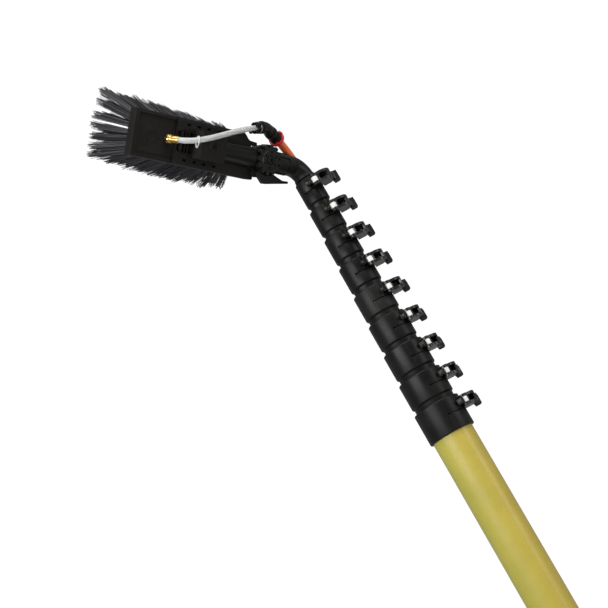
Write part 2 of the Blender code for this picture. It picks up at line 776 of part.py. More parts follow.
def make_bristles():
    """A root plate whose tuft cells are drawn out into leaning, tapering tufts."""
    margin = 3.0 * MM
    low_x, high_x = BLOCK_START + margin, BLOCK_END - margin
    half_y = BLOCK_HALF - margin
    root = BLOCK_FRONT + GAP
    columns, rows = BRISTLE_COLUMNS, BRISTLE_ROWS
    mesh = bmesh.new()
    bmesh.ops.create_grid(mesh, x_segments=2 * columns + 1, y_segments=2 * rows + 1, size=1.0)
    x_lines = sorted({round(v.co.x, 5) for v in mesh.verts})
    y_lines = sorted({round(v.co.y, 5) for v in mesh.verts})
    x_index = {x: i for i, x in enumerate(x_lines)}
    y_index = {y: i for i, y in enumerate(y_lines)}
    pitch_x = (high_x - low_x) / columns
    pitch_y = 2 * half_y / rows
    inset = (1 - TUFT_SHARE) / 2
    cells = []
    for vert in mesh.verts:
        i, j = x_index[round(vert.co.x, 5)], y_index[round(vert.co.y, 5)]
        column_line = min(max(i // 2 + (inset if i % 2 else -inset), 0), columns)
        row_line = min(max(j // 2 + (inset if j % 2 else -inset), 0), rows)
        vert.co = (low_x + pitch_x * column_line, -half_y + pitch_y * row_line, root + BRISTLE_PLATE)
        vert.index = i * 1000 + j
    for face in mesh.faces:
        i = min(v.index // 1000 for v in face.verts)
        j = min(v.index % 1000 for v in face.verts)
        if i % 2 and j % 2:
            cells.append((face, i // 2, j // 2))
    edge_faces = list(mesh.faces)
    walls = bmesh.ops.extrude_face_region(mesh, geom=edge_faces)
    for item in walls["geom"]:
        if isinstance(item, bmesh.types.BMVert):
            item.co.z = root
    tufts = bmesh.ops.extrude_discrete_faces(mesh, faces=[cell[0] for cell in cells])["faces"]
    for face, (_, i, j) in zip(tufts, cells, strict=True):
        along = (i + 0.5) / columns
        across = 2 * (j + 0.5) / rows - 1
        lean_x, lean_y = bristle_lean(along, across)
        reach = Vector((lean_x, lean_y, 1.0)).normalized() * (BRISTLE_LENGTH - BRISTLE_PLATE)
        reach *= 1.0 - 0.05 * ((3 * i + 5 * j) % 4) / 3
        centre = face.calc_center_median()
        for vert in face.verts:
            vert.co = centre + (vert.co - centre) * TUFT_SPREAD + reach
    bmesh.ops.recalc_face_normals(mesh, faces=mesh.faces)
    return from_bmesh("bristles", mesh, BRISTLE, LOCAL, head)


make_bristles()


# ---------------------------------------------------------------- water line
tube_along("riser_hose", riser_points, RISER_RADIUS, ORANGE)

clip_low, clip_high = riser_end - leg_aim * 2.2 * MM, riser_end + leg_aim * 1.2 * MM
clip = rod("hose_clip", 10.2 * MM, clip_low, clip_high, CRIMSON, sides=16)
clip_side = leg_aim.cross(Vector((0, 0, 1))).normalized()
clip_up = clip_side.cross(leg_aim).normalized()
clip_frame = Matrix((leg_aim, clip_side, clip_up)).transposed().to_4x4()
clip_frame.translation = riser_end
clip_tabs = 3
for i in range(clip_tabs):
    tab_place = clip_frame @ Matrix.Rotation(math.tau * i / clip_tabs, 4, "X")
    tab_low, tab_high = Vector((-2.0, -2.5, 8.0)) * MM, Vector((4.5, 2.5, 12.4)) * MM
    join(clip, box(f"clip_tab_{i}", tab_low, tab_high, None, tab_place))
cut(
    clip,
    rod("clip_bore", RISER_RADIUS + GAP, clip_low - leg_aim * 0.02, clip_high + leg_aim * 0.001, sides=14),
    rod("clip_seat", 8.9 * MM, riser_end + leg_aim * 0.3 * MM, riser_end + leg_aim * 0.02, sides=16),
)

body_start = riser_end + leg_aim * 1.2 * MM
elbow = rod("elbow_fitting", 8.6 * MM, body_start, elbow_corner + leg_aim * 2 * MM, HEAD_BLACK, sides=16)
collar_low = riser_end + leg_aim * 16 * MM
join(
    elbow,
    rod("elbow_bead", 9.6 * MM, collar_low, collar_low + leg_aim * 5 * MM, sides=16),
    rod("elbow_mouth", 8.2 * MM, elbow_corner - outlet_aim * 3 * MM, outlet_end - outlet_aim * 4 * MM),
    rod("elbow_collet", 7.2 * MM, outlet_end - outlet_aim * 5 * MM, outlet_end),
    rod("elbow_flange", 8.2 * MM, outlet_end - outlet_aim * 2.2 * MM, outlet_end),
)
outlet_low, outlet_high = outlet_end - outlet_aim * 10 * MM, outlet_end + outlet_aim * 9 * MM
cut(
    elbow,
    rod("elbow_inlet", RISER_RADIUS + GAP, riser_end, riser_tip + leg_aim * GAP, sides=14),
    rod("elbow_outlet", HOSE_RADIUS + GAP, outlet_low, outlet_high, sides=14),
)
mouth_across = outlet_aim.cross(Vector((0, 0, 1))).normalized()
mouth_frame = Matrix((outlet_aim, mouth_across, outlet_aim.cross(mouth_across))).transposed().to_4x4()
mouth_frame.translation = outlet_end
for i in range(2):
    notch_place = mouth_frame @ Matrix.Rotation(math.pi * i / 2, 4, "X")
    notch_low, notch_high = Vector((-2.6, -1.5, -12.0)) * MM, Vector((1.0, 1.5, 12.0)) * MM
    cut(elbow, box(f"mouth_notch_{i}", notch_low, notch_high, None, notch_place))

stem_place = Matrix.Translation((FITTING_X, 0, 0))
barb_place = stem_place @ Matrix.Rotation(FITTING_TILT, 4, "Y")
barb_top, barb_floor = -0.0120, -0.0054
fitting = turned(
    "jet_fitting",
    (
        (0, 0.0120),
        (4.2 * MM, 0.0120),
        (4.2 * MM, 0.0052),
        (6.4 * MM, 0.0052),
        (6.4 * MM, 0.0002),
        (5.4 * MM, -0.0010),
        (0, -0.0010),
    ),
    BRASS,
    stem_place,
    head,
    12,
)
join(fitting, rod("barb", 5.4 * MM, (0, 0, MM), (0, 0, barb_top), None, barb_place, head))
cut(
    fitting,
    rod("barb_bore", HOSE_RADIUS + GAP, (0, 0, barb_floor), (0, 0, 2 * barb_top), None, barb_place, head, 14),
)

hose_aim = to_head.to_3x3() @ outlet_aim
hose_mouth = outlet_local + hose_aim * MM
barb_aim = barb_place.to_3x3() @ Vector((0, 0, -1))
hose_landing = Vector((FITTING_X, 0, 0)) + barb_aim * 0.0130
hose_points = [outlet_local - hose_aim * 8 * MM]
hose_points += bezier(
    hose_mouth,
    hose_mouth + hose_aim * 0.060,
    hose_landing + barb_aim * 0.0395,
    hose_landing,
    18,
)
hose_points.append(Vector((FITTING_X, 0, 0)) + barb_aim * 0.0058)
tube_along("feed_hose", hose_points, HOSE_RADIUS, CLEAR, LOCAL, head, 2)

loop_at = hose_points[14]
loop_aim = (hose_points[15] - hose_points[13]).normalized()
loop_down = Vector((0, -1, 0))
loop_side = loop_aim.cross(loop_down).normalized()
loop_steps = 16
loop_path = []
for i in range(loop_steps + 1):
    turn = math.tau * i / loop_steps * 0.955
    loop_path.append(
        loop_at + loop_down * (2.4 - 7.8 * math.cos(turn)) * MM + loop_side * 6.0 * math.sin(turn) * MM
    )
tube_along("hose_loop", loop_path, 0.7 * MM, LOOP_CLEAR, LOCAL, head, 1)

for each in parts.objects:
    if each.type == "MESH":
        each.data.shade_smooth()
        each.data.set_sharp_from_angle(angle=math.radians(35))
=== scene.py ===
"""Looks of the telescopic window cleaning pole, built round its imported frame. Metres, +Z up."""

import math
import random

import bmesh
import bpy
from mathutils import Matrix, Quaternion, Vector


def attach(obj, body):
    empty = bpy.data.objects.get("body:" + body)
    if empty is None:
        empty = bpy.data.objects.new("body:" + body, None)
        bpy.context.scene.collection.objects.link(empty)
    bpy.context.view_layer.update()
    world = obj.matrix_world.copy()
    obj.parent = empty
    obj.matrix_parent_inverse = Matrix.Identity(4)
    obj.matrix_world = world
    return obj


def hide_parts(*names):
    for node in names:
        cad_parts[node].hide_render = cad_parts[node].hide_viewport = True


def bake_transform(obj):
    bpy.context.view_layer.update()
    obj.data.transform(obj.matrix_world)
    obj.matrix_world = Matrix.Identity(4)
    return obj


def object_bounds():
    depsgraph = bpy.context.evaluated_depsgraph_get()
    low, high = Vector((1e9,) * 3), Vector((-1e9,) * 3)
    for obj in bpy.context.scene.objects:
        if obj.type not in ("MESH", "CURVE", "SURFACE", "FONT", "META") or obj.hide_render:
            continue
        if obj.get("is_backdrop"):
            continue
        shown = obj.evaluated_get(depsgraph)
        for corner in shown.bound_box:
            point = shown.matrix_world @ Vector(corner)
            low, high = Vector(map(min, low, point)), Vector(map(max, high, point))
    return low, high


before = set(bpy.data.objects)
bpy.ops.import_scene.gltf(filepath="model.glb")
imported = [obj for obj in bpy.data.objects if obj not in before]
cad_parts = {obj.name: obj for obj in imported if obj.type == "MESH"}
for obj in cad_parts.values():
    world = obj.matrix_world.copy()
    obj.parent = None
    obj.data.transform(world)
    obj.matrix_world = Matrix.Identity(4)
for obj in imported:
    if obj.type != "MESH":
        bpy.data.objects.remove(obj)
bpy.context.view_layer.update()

MM = 0.001
GAP = 0.0003
scene = bpy.context.scene

# -------------------- camera
camera_data = bpy.data.cameras.new("camera")
camera_data.lens = 81.71
camera_data.sensor_width = 36.0
camera_data.clip_end = 60.0
camera = bpy.data.objects.new("camera", camera_data)
scene.collection.objects.link(camera)
camera.rotation_mode = "QUATERNION"
camera.location = (1.62805, 1.07739, 1.27812)
camera.rotation_quaternion = Quaternion((0.41054, 0.16622, 0.76797, 0.46266))
scene.camera = camera

# -------------------- dimensions of the frame
SECTIONS, COLLARS = 10, 9
WALL, TUBE_LENGTH = 0.0017, 1.490
PITCH, COLLAR_WALL, SHOULDER = 0.048, 0.004, 0.030
TURNS_DEG = (42, 52, 58, 64, 71, 82, 87, 90, 92)
BOLT_REACH, BARREL_OFFSET = 0.0055, 0.0088
EAR_TOP, EAR_BOTTOM = -0.0073, -0.0157
LEVER_TOP, LEVER_BOTTOM = -0.0030, -0.0200
CLAMP_DROP = 0.0004  # each clamp sits this much lower on its collar than the one above
EAR_HALF_GAP, EAR_THICKNESS, EAR_REACH = 0.0008, 0.0024, 0.0088
NECK_HEIGHT, NECK_STEP, SLIT_DEPTH, SLIT_WIDTH = 0.0066, 0.0026, 0.0200, 0.0014
FIRST_COLLAR_TOP = 0.0063 + TUBE_LENGTH + SHOULDER + PITCH * (COLLARS - 1)
RISE, ROLL = math.radians(14.52), math.radians(51.8)
NECK_ARM, BEND_RADIUS, NECK_RADIUS = 0.075, 0.027, 0.0152
DISC_RADIUS, RELIEF = 0.0205, 0.0230  # the knuckle's discs, and the room cut round them
SOCKET_RADIUS, SOCKET_END = 0.0150, 0.122
BOLT_BORE, PORT_RADIUS, PIVOT_HOLE = 4.3 * MM, 6.4 * MM, 2.3 * MM
HOSE_RADIUS, RISER_RADIUS = 0.0040, 0.0060
LEVER_ARC, LOBE_TURNS = 30.0 * MM, (52, 92)  # the lobe stops short of the ear when the lever is open


def tube_radius(k):
    return (0.0250 + 0.0041 * (k - 1)) / 2


def collar_top(k):
    return FIRST_COLLAR_TOP - PITCH * (k - 1)


def tube_body(k):
    return {1: "tip", SECTIONS: "base"}.get(k, f"section_{k}")


bend_point = Vector((0, 0, FIRST_COLLAR_TOP + 0.024))
brush_axis = Vector((math.cos(RISE), 0, math.sin(RISE)))
lean = Vector((-math.sin(RISE), 0, math.cos(RISE)))
bristle_axis = lean * math.cos(ROLL) - Vector((0, 1, 0)) * math.sin(ROLL)
width_axis = bristle_axis.cross(brush_axis)
HEAD = Matrix((brush_axis, width_axis, bristle_axis)).transposed().to_4x4()
HEAD.translation = bend_point + brush_axis * NECK_ARM


# -------------------- material nodes
class Look:
    """A Principled material with helpers for its procedural nodes."""

    def __init__(self, slot, colour, roughness, **sockets):
        self.material = bpy.data.materials.new(f"look_{slot}")
        self.material.use_nodes = True
        self.slot = slot
        self.tree = self.material.node_tree
        self.shader = self.tree.nodes["Principled BSDF"]
        self.set("Base Color", (*colour, 1.0))
        self.set("Roughness", roughness)
        for label, value in sockets.items():
            self.set(label.replace("_", " "), value)
        self.place = self.add("ShaderNodeTexCoord").outputs["Object"]

    def set(self, label, value):
        if isinstance(value, bpy.types.NodeSocket):
            self.tree.links.new(value, self.shader.inputs[label])
        else:
            self.shader.inputs[label].default_value = value

    def add(self, kind, inputs=None, **properties):
        made = self.tree.nodes.new(kind)
        for key, value in properties.items():
            setattr(made, key, value)
        for key, value in (inputs or {}).items():
            if isinstance(value, bpy.types.NodeSocket):
                self.tree.links.new(value, made.inputs[key])
            else:
                made.inputs[key].default_value = value
        return made

    def maths(self, operation, a, b=0.0, c=0.0):
        return self.add("ShaderNodeMath", {0: a, 1: b, 2: c}, operation=operation).outputs[0]

    def noise(self, scale, detail=3.0, rough=0.55, stretch=(1, 1, 1)):
        spread = self.add("ShaderNodeVectorMath", {0: self.place, 1: stretch}, operation="MULTIPLY")
        inputs = {"Vector": spread.outputs[0], "Scale": scale, "Detail": detail, "Roughness": rough}
        return self.add("ShaderNodeTexNoise", inputs).outputs["Fac"]

    def remap(self, value, low, high, to_low, to_high):
        inputs = {"Value": value, "From Min": low, "From Max": high, "To Min": to_low, "To Max": to_high}
        return self.add("ShaderNodeMapRange", inputs).outputs["Result"]

    def mix(self, share, first, second):
        made = self.add("ShaderNodeMix", {0: share}, data_type="RGBA")
        for index, value in ((6, first), (7, second)):
            if isinstance(value, bpy.types.NodeSocket):
                self.tree.links.new(value, made.inputs[index])
            else:
                made.inputs[index].default_value = (*value, 1.0)
        return made.outputs[2]

    def bump(self, height, distance, strength=1.0, below=None):
        inputs = {"Height": height, "Distance": distance, "Strength": strength}
        if below is not None:
            inputs["Normal"] = below
        return self.add("ShaderNodeBump", inputs).outputs["Normal"]

    def worn_edges(self, low=0.52, high=0.60):
        return self.remap(self.add("ShaderNodeNewGeometry").outputs["Pointiness"], low, high, 0.0, 1.0)


def moulded(
    slot, dark, light, roughness, grain=1400.0, grain_depth=0.00003, patch=38.0, wear=0.35, **sockets,
):
    """Moulded plastic: fine spark-eroded grain, cloudy gloss, handling marks and rubbed edges."""
    look = Look(slot, dark, roughness, **sockets)
    cloud = look.noise(patch, 4.0)
    fine = look.noise(grain, 2.0, 0.6)
    scuffs = look.noise(90.0, 5.0, 0.7, (1.0, 1.0, 0.25))
    base = look.mix(look.remap(cloud, 0.35, 0.70, 0.0, 1.0), dark, light)
    rubbed = look.maths("MULTIPLY", look.worn_edges(), wear)
    scuffed = look.maths("MULTIPLY", look.remap(scuffs, 0.60, 0.78, 0.0, 1.0), 0.35)
    marks = look.maths("ADD", rubbed, scuffed)
    worn = tuple(min(1.0, 2.6 * c + 0.010) for c in light)
    look.set("Base Color", look.mix(marks, base, worn))
    gloss = look.remap(cloud, 0.3, 0.7, roughness - 0.06, roughness + 0.07)
    look.set("Roughness", look.maths("ADD", gloss, look.maths("MULTIPLY", marks, 0.12)))
    look.set("Normal", look.bump(fine, grain_depth, 1.0, look.bump(scuffs, 0.00004, 0.5)))
    return look


def woven(slot, radius, tow, warp, weft, gap_colour, roughness, painted_sheen=None, **sockets):
    """Fibre cloth laid at 45 degrees round a tube of that radius, under clear resin, with an optional painted sheen
    on one side.
    """
    look = Look(slot, warp, roughness, **sockets)
    apart = look.add("ShaderNodeSeparateXYZ", {0: look.place}).outputs
    turn = look.maths("ARCTAN2", apart["Y"], apart["X"])
    tows = 2 * round(math.tau * radius / tow / 2)
    around = look.maths("MULTIPLY", turn, tows / 2)
    up = look.maths("MULTIPLY", apart["Z"], math.pi / tow)
    left = look.maths("SINE", look.maths("ADD", around, up))
    right = look.maths("SINE", look.maths("SUBTRACT", around, up))
    over = look.maths("GREATER_THAN", look.maths("MULTIPLY", left, right), 0.0)
    left_tow = look.maths("ABSOLUTE", left)
    right_tow = look.maths("ABSOLUTE", right)
    crown = look.add("ShaderNodeMix", {0: over, 2: left_tow, 3: right_tow}, data_type="FLOAT").outputs[0]
    cloth = look.mix(over, warp, weft)
    # painted sheen: one side of the tube, chosen by its angle about the pole, is mixed towards a golden colour that
    # stands in for reflected light
    if painted_sheen is not None:
        side = look.remap(look.maths("SINE", look.maths("ADD", turn, painted_sheen[1])), -1.0, 1.0, 0.0, 1.0)
        cloth = look.mix(look.maths("MULTIPLY", side, 0.75), cloth, painted_sheen[0])
    shade = look.remap(crown, 0.0, 0.55, 0.0, 1.0)
    patches = look.remap(look.noise(24.0, 3.0), 0.35, 0.7, 0.0, 0.22)
    coloured = look.mix(patches, look.mix(shade, gap_colour, cloth), gap_colour)
    look.set("Base Color", coloured)
    haze = look.noise(60.0, 4.0)
    look.set("Roughness", look.remap(haze, 0.3, 0.7, roughness - 0.07, roughness + 0.08))
    look.set("Normal", look.bump(crown, 0.00010, 0.55))
    return look


def metal(slot, colour, roughness, stretch, dull=0.82):
    look = Look(slot, colour, roughness, Metallic=1.0)
    grain = look.noise(900.0, 3.0, 0.6, stretch)
    stain = look.noise(150.0, 4.0)
    dark = tuple(c * dull for c in colour)
    look.set("Base Color", look.mix(look.remap(stain, 0.35, 0.75, 0.0, 1.0), colour, dark))
    look.set("Roughness", look.remap(grain, 0.3, 0.7, roughness - 0.08, roughness + 0.12))
    look.set("Normal", look.bump(grain, 0.00002, 0.6))
    return look


COLLAR = moulded(
    "collar_black", (0.0042, 0.0042, 0.0040), (0.0078, 0.0078, 0.0072), 0.38, patch=30.0, wear=0.22,
    Specular_IOR_Level=0.20,
)
LEVER = moulded(
    "lever_black", (0.0034, 0.0034, 0.0034), (0.0062, 0.0062, 0.0062), 0.22, grain_depth=0.00001, wear=0.25,
    Specular_IOR_Level=0.42,
)
HEAD_PLASTIC = moulded(
    "head_black", (0.0038, 0.0038, 0.0036), (0.0070, 0.0069, 0.0064), 0.34, wear=0.22, Specular_IOR_Level=0.22
)
BLOCK = moulded(
    "block_black", (0.0036, 0.0034, 0.0031), (0.0082, 0.0073, 0.0060), 0.50, patch=46.0, wear=0.22,
    Specular_IOR_Level=0.16,
)
RUBBER = moulded("butt_rubber", (0.014, 0.014, 0.014), (0.026, 0.026, 0.025), 0.72, grain=700.0)
CLIP = moulded("crimson_clip", (0.46, 0.006, 0.018), (0.60, 0.014, 0.030), 0.30, wear=0.1)
BARREL = moulded("barrel_grey", (0.80, 0.80, 0.75), (0.90, 0.90, 0.86), 0.28, wear=0.1)
STEEL = metal("steel", (0.10, 0.10, 0.097), 0.40, (1.0, 1.0, 6.0))
BLACK_STEEL = metal("steel", (0.030, 0.030, 0.032), 0.34, (1.0, 1.0, 1.0))
BRIGHT_STEEL = metal("steel", (0.66, 0.66, 0.64), 0.26, (1.0, 1.0, 6.0))
BRASS = metal("brass", (0.78, 0.55, 0.20), 0.20, (1.0, 6.0, 1.0), 0.55)
# the golden colour and angle given last paint a sheen of reflected light on one side of the base tube
ARAMID = woven(
    "aramid_tube", tube_radius(SECTIONS), 0.0019,
    (0.64, 0.585, 0.100), (0.50, 0.49, 0.075), (0.28, 0.24, 0.032), 0.40, painted_sheen=((0.62, 0.42, 0.045), math.radians(-20)), Coat_Weight=0.35,
)
ARAMID.set("Coat Roughness", 0.25)
CARBON = woven(
    "carbon_tube", tube_radius(5), 0.0028,
    (0.020, 0.020, 0.021), (0.009, 0.009, 0.010), (0.004, 0.004, 0.004), 0.34, Coat_Weight=0.8,
)
CARBON.set("Coat Roughness", 0.12)


def orange_look():
    look = Look("orange_hose", (0.88, 0.10, 0.02), 0.30, Coat_Weight=0.4)
    cloud = look.noise(70.0, 3.0)
    share = look.remap(cloud, 0.3, 0.7, 0.0, 1.0)
    look.set("Base Color", look.mix(share, (1.0, 0.20, 0.050), (1.0, 0.150, 0.030)))
    look.set("Roughness", look.remap(look.noise(300.0, 3.0), 0.3, 0.7, 0.26, 0.40))
    look.set("Normal", look.bump(look.noise(500.0, 2.0), 0.00002, 0.6))
    look.set("Subsurface Weight", 0.15)
    look.set("Subsurface Scale", 0.002)
    return look


def clear_look(slot, transmission, roughness):
    look = Look(slot, (0.90, 0.92, 0.91), roughness, IOR=1.42)
    look.set("Transmission Weight", transmission)
    haze = look.noise(45.0, 3.0, 0.5)
    share = look.remap(haze, 0.35, 0.7, 0.0, 1.0)
    look.set("Base Color", look.mix(share, (0.97, 0.98, 0.97), (0.90, 0.92, 0.91)))
    look.set("Roughness", look.remap(haze, 0.3, 0.7, roughness - 0.03, roughness + 0.05))
    look.set("Normal", look.bump(look.noise(150.0, 2.0, 0.5), 0.00001, 0.25))
    return look


def bristle_look():
    look = Look("bristle", (0.03, 0.03, 0.036), 0.50)
    each = look.add("ShaderNodeNewGeometry").outputs["Random Per Island"]
    tone = look.mix(each, (0.010, 0.010, 0.013), (0.042, 0.042, 0.052))
    along = look.noise(160.0, 3.0, 0.6)
    look.set("Base Color", look.mix(look.remap(along, 0.35, 0.7, 0.0, 0.5), tone, (0.020, 0.020, 0.024)))
    look.set("Roughness", look.remap(each, 0.0, 1.0, 0.38, 0.62))
    look.set("Normal", look.bump(look.noise(1500.0, 2.0), 0.00002, 0.4))
    return look


ORANGE = orange_look()
CLEAR = clear_look("clear_hose", 0.62, 0.11)
LOOP = clear_look("clear_loop", 0.45, 0.22)
BRISTLE = bristle_look()


# -------------------- shape helpers
def from_bmesh(name, mesh, matrix=Matrix()):
    mesh.transform(matrix)
    data = bpy.data.meshes.new(name)
    mesh.to_mesh(data)
    mesh.free()
    made = bpy.data.objects.new(name, data)
    scene.collection.objects.link(made)
    return made


def turned(name, profile, matrix=Matrix(), sides=64):
    """A profile of (radius, height) points, closed on itself or on the axis, turned about Z."""
    mesh = bmesh.new()
    points = [mesh.verts.new((radius, 0, height)) for radius, height in profile]
    edges = []
    for i, point in enumerate(points):
        following = points[(i + 1) % len(points)]
        if point.co.x > 0 or following.co.x > 0:
            edges.append(mesh.edges.new((point, following)))
    bmesh.ops.spin(
        mesh, geom=points + edges, cent=(0, 0, 0), axis=(0, 0, 1), angle=math.tau, steps=sides, use_merge=True
    )
    bmesh.ops.remove_doubles(mesh, verts=mesh.verts, dist=1e-6)
    bmesh.ops.recalc_face_normals(mesh, faces=mesh.faces)
    return from_bmesh(name, mesh, matrix)


def rod(radius, start, end, matrix=Matrix(), sides=32, end_radius=None):
    start, end = Vector(start), Vector(end)
    mesh = bmesh.new()
    bmesh.ops.create_cone(
        mesh, cap_ends=True, segments=sides, radius1=radius,
        radius2=radius if end_radius is None else end_radius, depth=(end - start).length,
    )
    aim = (end - start).to_track_quat("Z", "Y").to_matrix().to_4x4()
    mesh.transform(Matrix.Translation((start + end) / 2) @ aim)
    return from_bmesh("rod", mesh, matrix)


def box(low, high, matrix=Matrix(), round_off=0.0):
    low, high = Vector(low), Vector(high)
    mesh = bmesh.new()
    bmesh.ops.create_cube(mesh, size=1.0)
    mesh.transform(Matrix.Translation((low + high) / 2) @ Matrix.Diagonal((*(high - low), 1.0)))
    if round_off:
        bmesh.ops.bevel(mesh, geom=mesh.edges[:], offset=round_off, segments=3, affect="EDGES", profile=0.5)
    return from_bmesh("box", mesh, matrix)


def plate(outlines, low, high, matrix=Matrix()):
    """A flat outline in XY, with holes as further outlines, from height low to high."""
    curve = bpy.data.curves.new("plate", "CURVE")
    curve.dimensions = "2D"
    curve.fill_mode = "BOTH"
    curve.extrude = (high - low) / 2
    for outline in outlines:
        spline = curve.splines.new("POLY")
        spline.points.add(len(outline) - 1)
        for point, (x, y) in zip(spline.points, outline, strict=True):
            point.co = (x, y, 0, 1)
        spline.use_cyclic_u = True
    made = bpy.data.objects.new("plate", curve)
    scene.collection.objects.link(made)
    bpy.context.view_layer.update()
    mesh = bmesh.new()
    mesh.from_mesh(bpy.data.meshes.new_from_object(made.evaluated_get(bpy.context.evaluated_depsgraph_get())))
    bpy.data.objects.remove(made, do_unlink=True)
    bmesh.ops.remove_doubles(mesh, verts=mesh.verts, dist=1e-6)
    bmesh.ops.recalc_face_normals(mesh, faces=mesh.faces)
    mesh.transform(Matrix.Translation((0, 0, (low + high) / 2)))
    return from_bmesh("plate", mesh, matrix)


def sweep(name, points, radii, sides=40, bore=None, matrix=Matrix()):
    """A round bar, or a hose with that bore radius, along points. radii is one radius or one per point."""
    points = [Vector(p) for p in points]
    if not isinstance(radii, (list, tuple)):
        radii = [radii] * len(points)
    mesh = bmesh.new()
    tangent = (points[1] - points[0]).normalized()
    across = tangent.orthogonal().normalized()
    shells = [(radii, 1)] if bore is None else [(radii, 1), ([bore] * len(points), -1)]
    rings = [[] for _ in shells]
    for i, point in enumerate(points):
        ahead = points[min(i + 1, len(points) - 1)] - points[max(i - 1, 0)]
        aim = ahead.normalized()
        across = tangent.rotation_difference(aim) @ across
        tangent = aim
        beside = tangent.cross(across)
        for shell, (sizes, _) in enumerate(shells):
            ring = []
            for s in range(sides):
                turn = math.tau * s / sides
                outward = across * math.cos(turn) + beside * math.sin(turn)
                ring.append(mesh.verts.new(point + sizes[i] * outward))
            rings[shell].append(ring)
    for shell in rings:
        for one, two in zip(shell, shell[1:]):
            for s in range(sides):
                t = (s + 1) % sides
                mesh.faces.new((one[s], one[t], two[t], two[s]))
    for end in (0, -1):
        if bore is None:
            mesh.faces.new(rings[0][end])
        else:
            for s in range(sides):
                t = (s + 1) % sides
                mesh.faces.new((rings[0][end][s], rings[0][end][t], rings[1][end][t], rings[1][end][s]))
    bmesh.ops.recalc_face_normals(mesh, faces=mesh.faces)
    return from_bmesh(name, mesh, matrix)


def bake(target):
    """Applies the object's modifiers to its mesh."""
    bpy.context.view_layer.update()
    evaluated = target.evaluated_get(bpy.context.evaluated_depsgraph_get())
    data = bpy.data.meshes.new_from_object(evaluated)
    target.modifiers.clear()
    old = target.data
    target.data = data
    bpy.data.meshes.remove(old)


def carve(target, joins=(), cuts=()):
    for operation, tools in (("UNION", joins), ("DIFFERENCE", cuts)):
        for tool in tools:
            step = target.modifiers.new("step", "BOOLEAN")
            step.operation = operation
            step.solver = "EXACT"
            step.object = tool
    bake(target)
    for tool in (*joins, *cuts):
        bpy.data.objects.remove(tool, do_unlink=True)
    return target


def piece(name, target, look, body, *nodes, bevel=0.0, angle=36):
    """Finishes a piece: rounded edges, smooth shading, material, body, and the nodes it stands for."""
    target.name = name
    if bevel:
        step = target.modifiers.new("bevel", "BEVEL")
        step.width = bevel
        step.segments = 3
        step.limit_method = "ANGLE"
        step.angle_limit = math.radians(28)
        bake(target)
    target.data.name = name
    target.data.materials.clear()
    target.data.materials.append(look.material)
    target.data.shade_smooth()
    target.data.set_sharp_from_angle(angle=math.radians(angle))
    if body:
        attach(target, body)
    if nodes:
        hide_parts(*nodes)
    return target


def circle(radius, sides, centre=(0, 0)):
    turns = [math.tau * i / sides for i in range(sides)]
    return [(centre[0] + radius * math.cos(t), centre[1] + radius * math.sin(t)) for t in turns]


def arc(radius, degrees):
    return [(radius * math.cos(math.radians(t)), radius * math.sin(math.radians(t))) for t in degrees]


def bezier(start, first, second, end, count):
    points = []
    for i in range(count):
        t = i / (count - 1)
        s = 1 - t
        points.append(start * s**3 + first * 3 * s * s * t + second * 3 * s * t * t + end * t**3)
    return points


# -------------------- feed hose, from the elbow to the jet fitting
riser_end = bend_point + Vector((0.0432, 0.0202, 0.0402))
elbow_corner = bend_point + Vector((0.0773, 0.0364, 0.0504))
outlet_local = Vector((0.0355, 0.0400, -0.0150))
outlet_end = HEAD @ outlet_local
leg_aim = (elbow_corner - riser_end).normalized()
outlet_aim = (outlet_end - elbow_corner).normalized()
FITTING_X, FITTING_TILT = 0.1700, 0.5
barb_local = Matrix.Translation((FITTING_X, 0, 0)) @ Matrix.Rotation(FITTING_TILT, 4, "Y")
barb_aim = barb_local.to_3x3() @ Vector((0, 0, -1))
hose_aim = HEAD.to_3x3().inverted() @ outlet_aim
hose_mouth = outlet_local + hose_aim * MM
hose_landing = Vector((FITTING_X, 0, 0)) + barb_aim * 0.0130
hose_handles = (hose_mouth + hose_aim * 0.060, hose_landing + barb_aim * 0.0395)
hose_local = [outlet_local - hose_aim * 8 * MM]
hose_local += bezier(hose_mouth, *hose_handles, hose_landing, 36)
hose_local.append(Vector((FITTING_X, 0, 0)) + barb_aim * 0.0058)
hose_path = [HEAD @ p for p in hose_local]
hose = sweep("feed_hose_clear", hose_path, HOSE_RADIUS, 40, bore=2.6 * MM)
piece("feed_hose_clear", hose, CLEAR, None, "feed_hose")
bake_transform(hose)


# -------------------- tubes and butt cap
def tube_top(k):
    return FIRST_COLLAR_TOP + 2 * MM if k == 1 else collar_top(k - 1) - SHOULDER


for k in range(1, SECTIONS + 1):
    outer, top = tube_radius(k), tube_top(k)
    bottom, ease = top - TUBE_LENGTH, 0.4 * MM
    ring = (
        (outer - ease, top), (outer, top - ease), (outer, bottom + ease), (outer - ease, bottom),
        (outer - WALL, bottom), (outer - WALL, top),
    )
    look = ARAMID if k == SECTIONS else CARBON
    piece(f"tube_{k:02d}_cloth", turned("tube", ring, sides=96), look, tube_body(k), f"tube_{k:02d}")

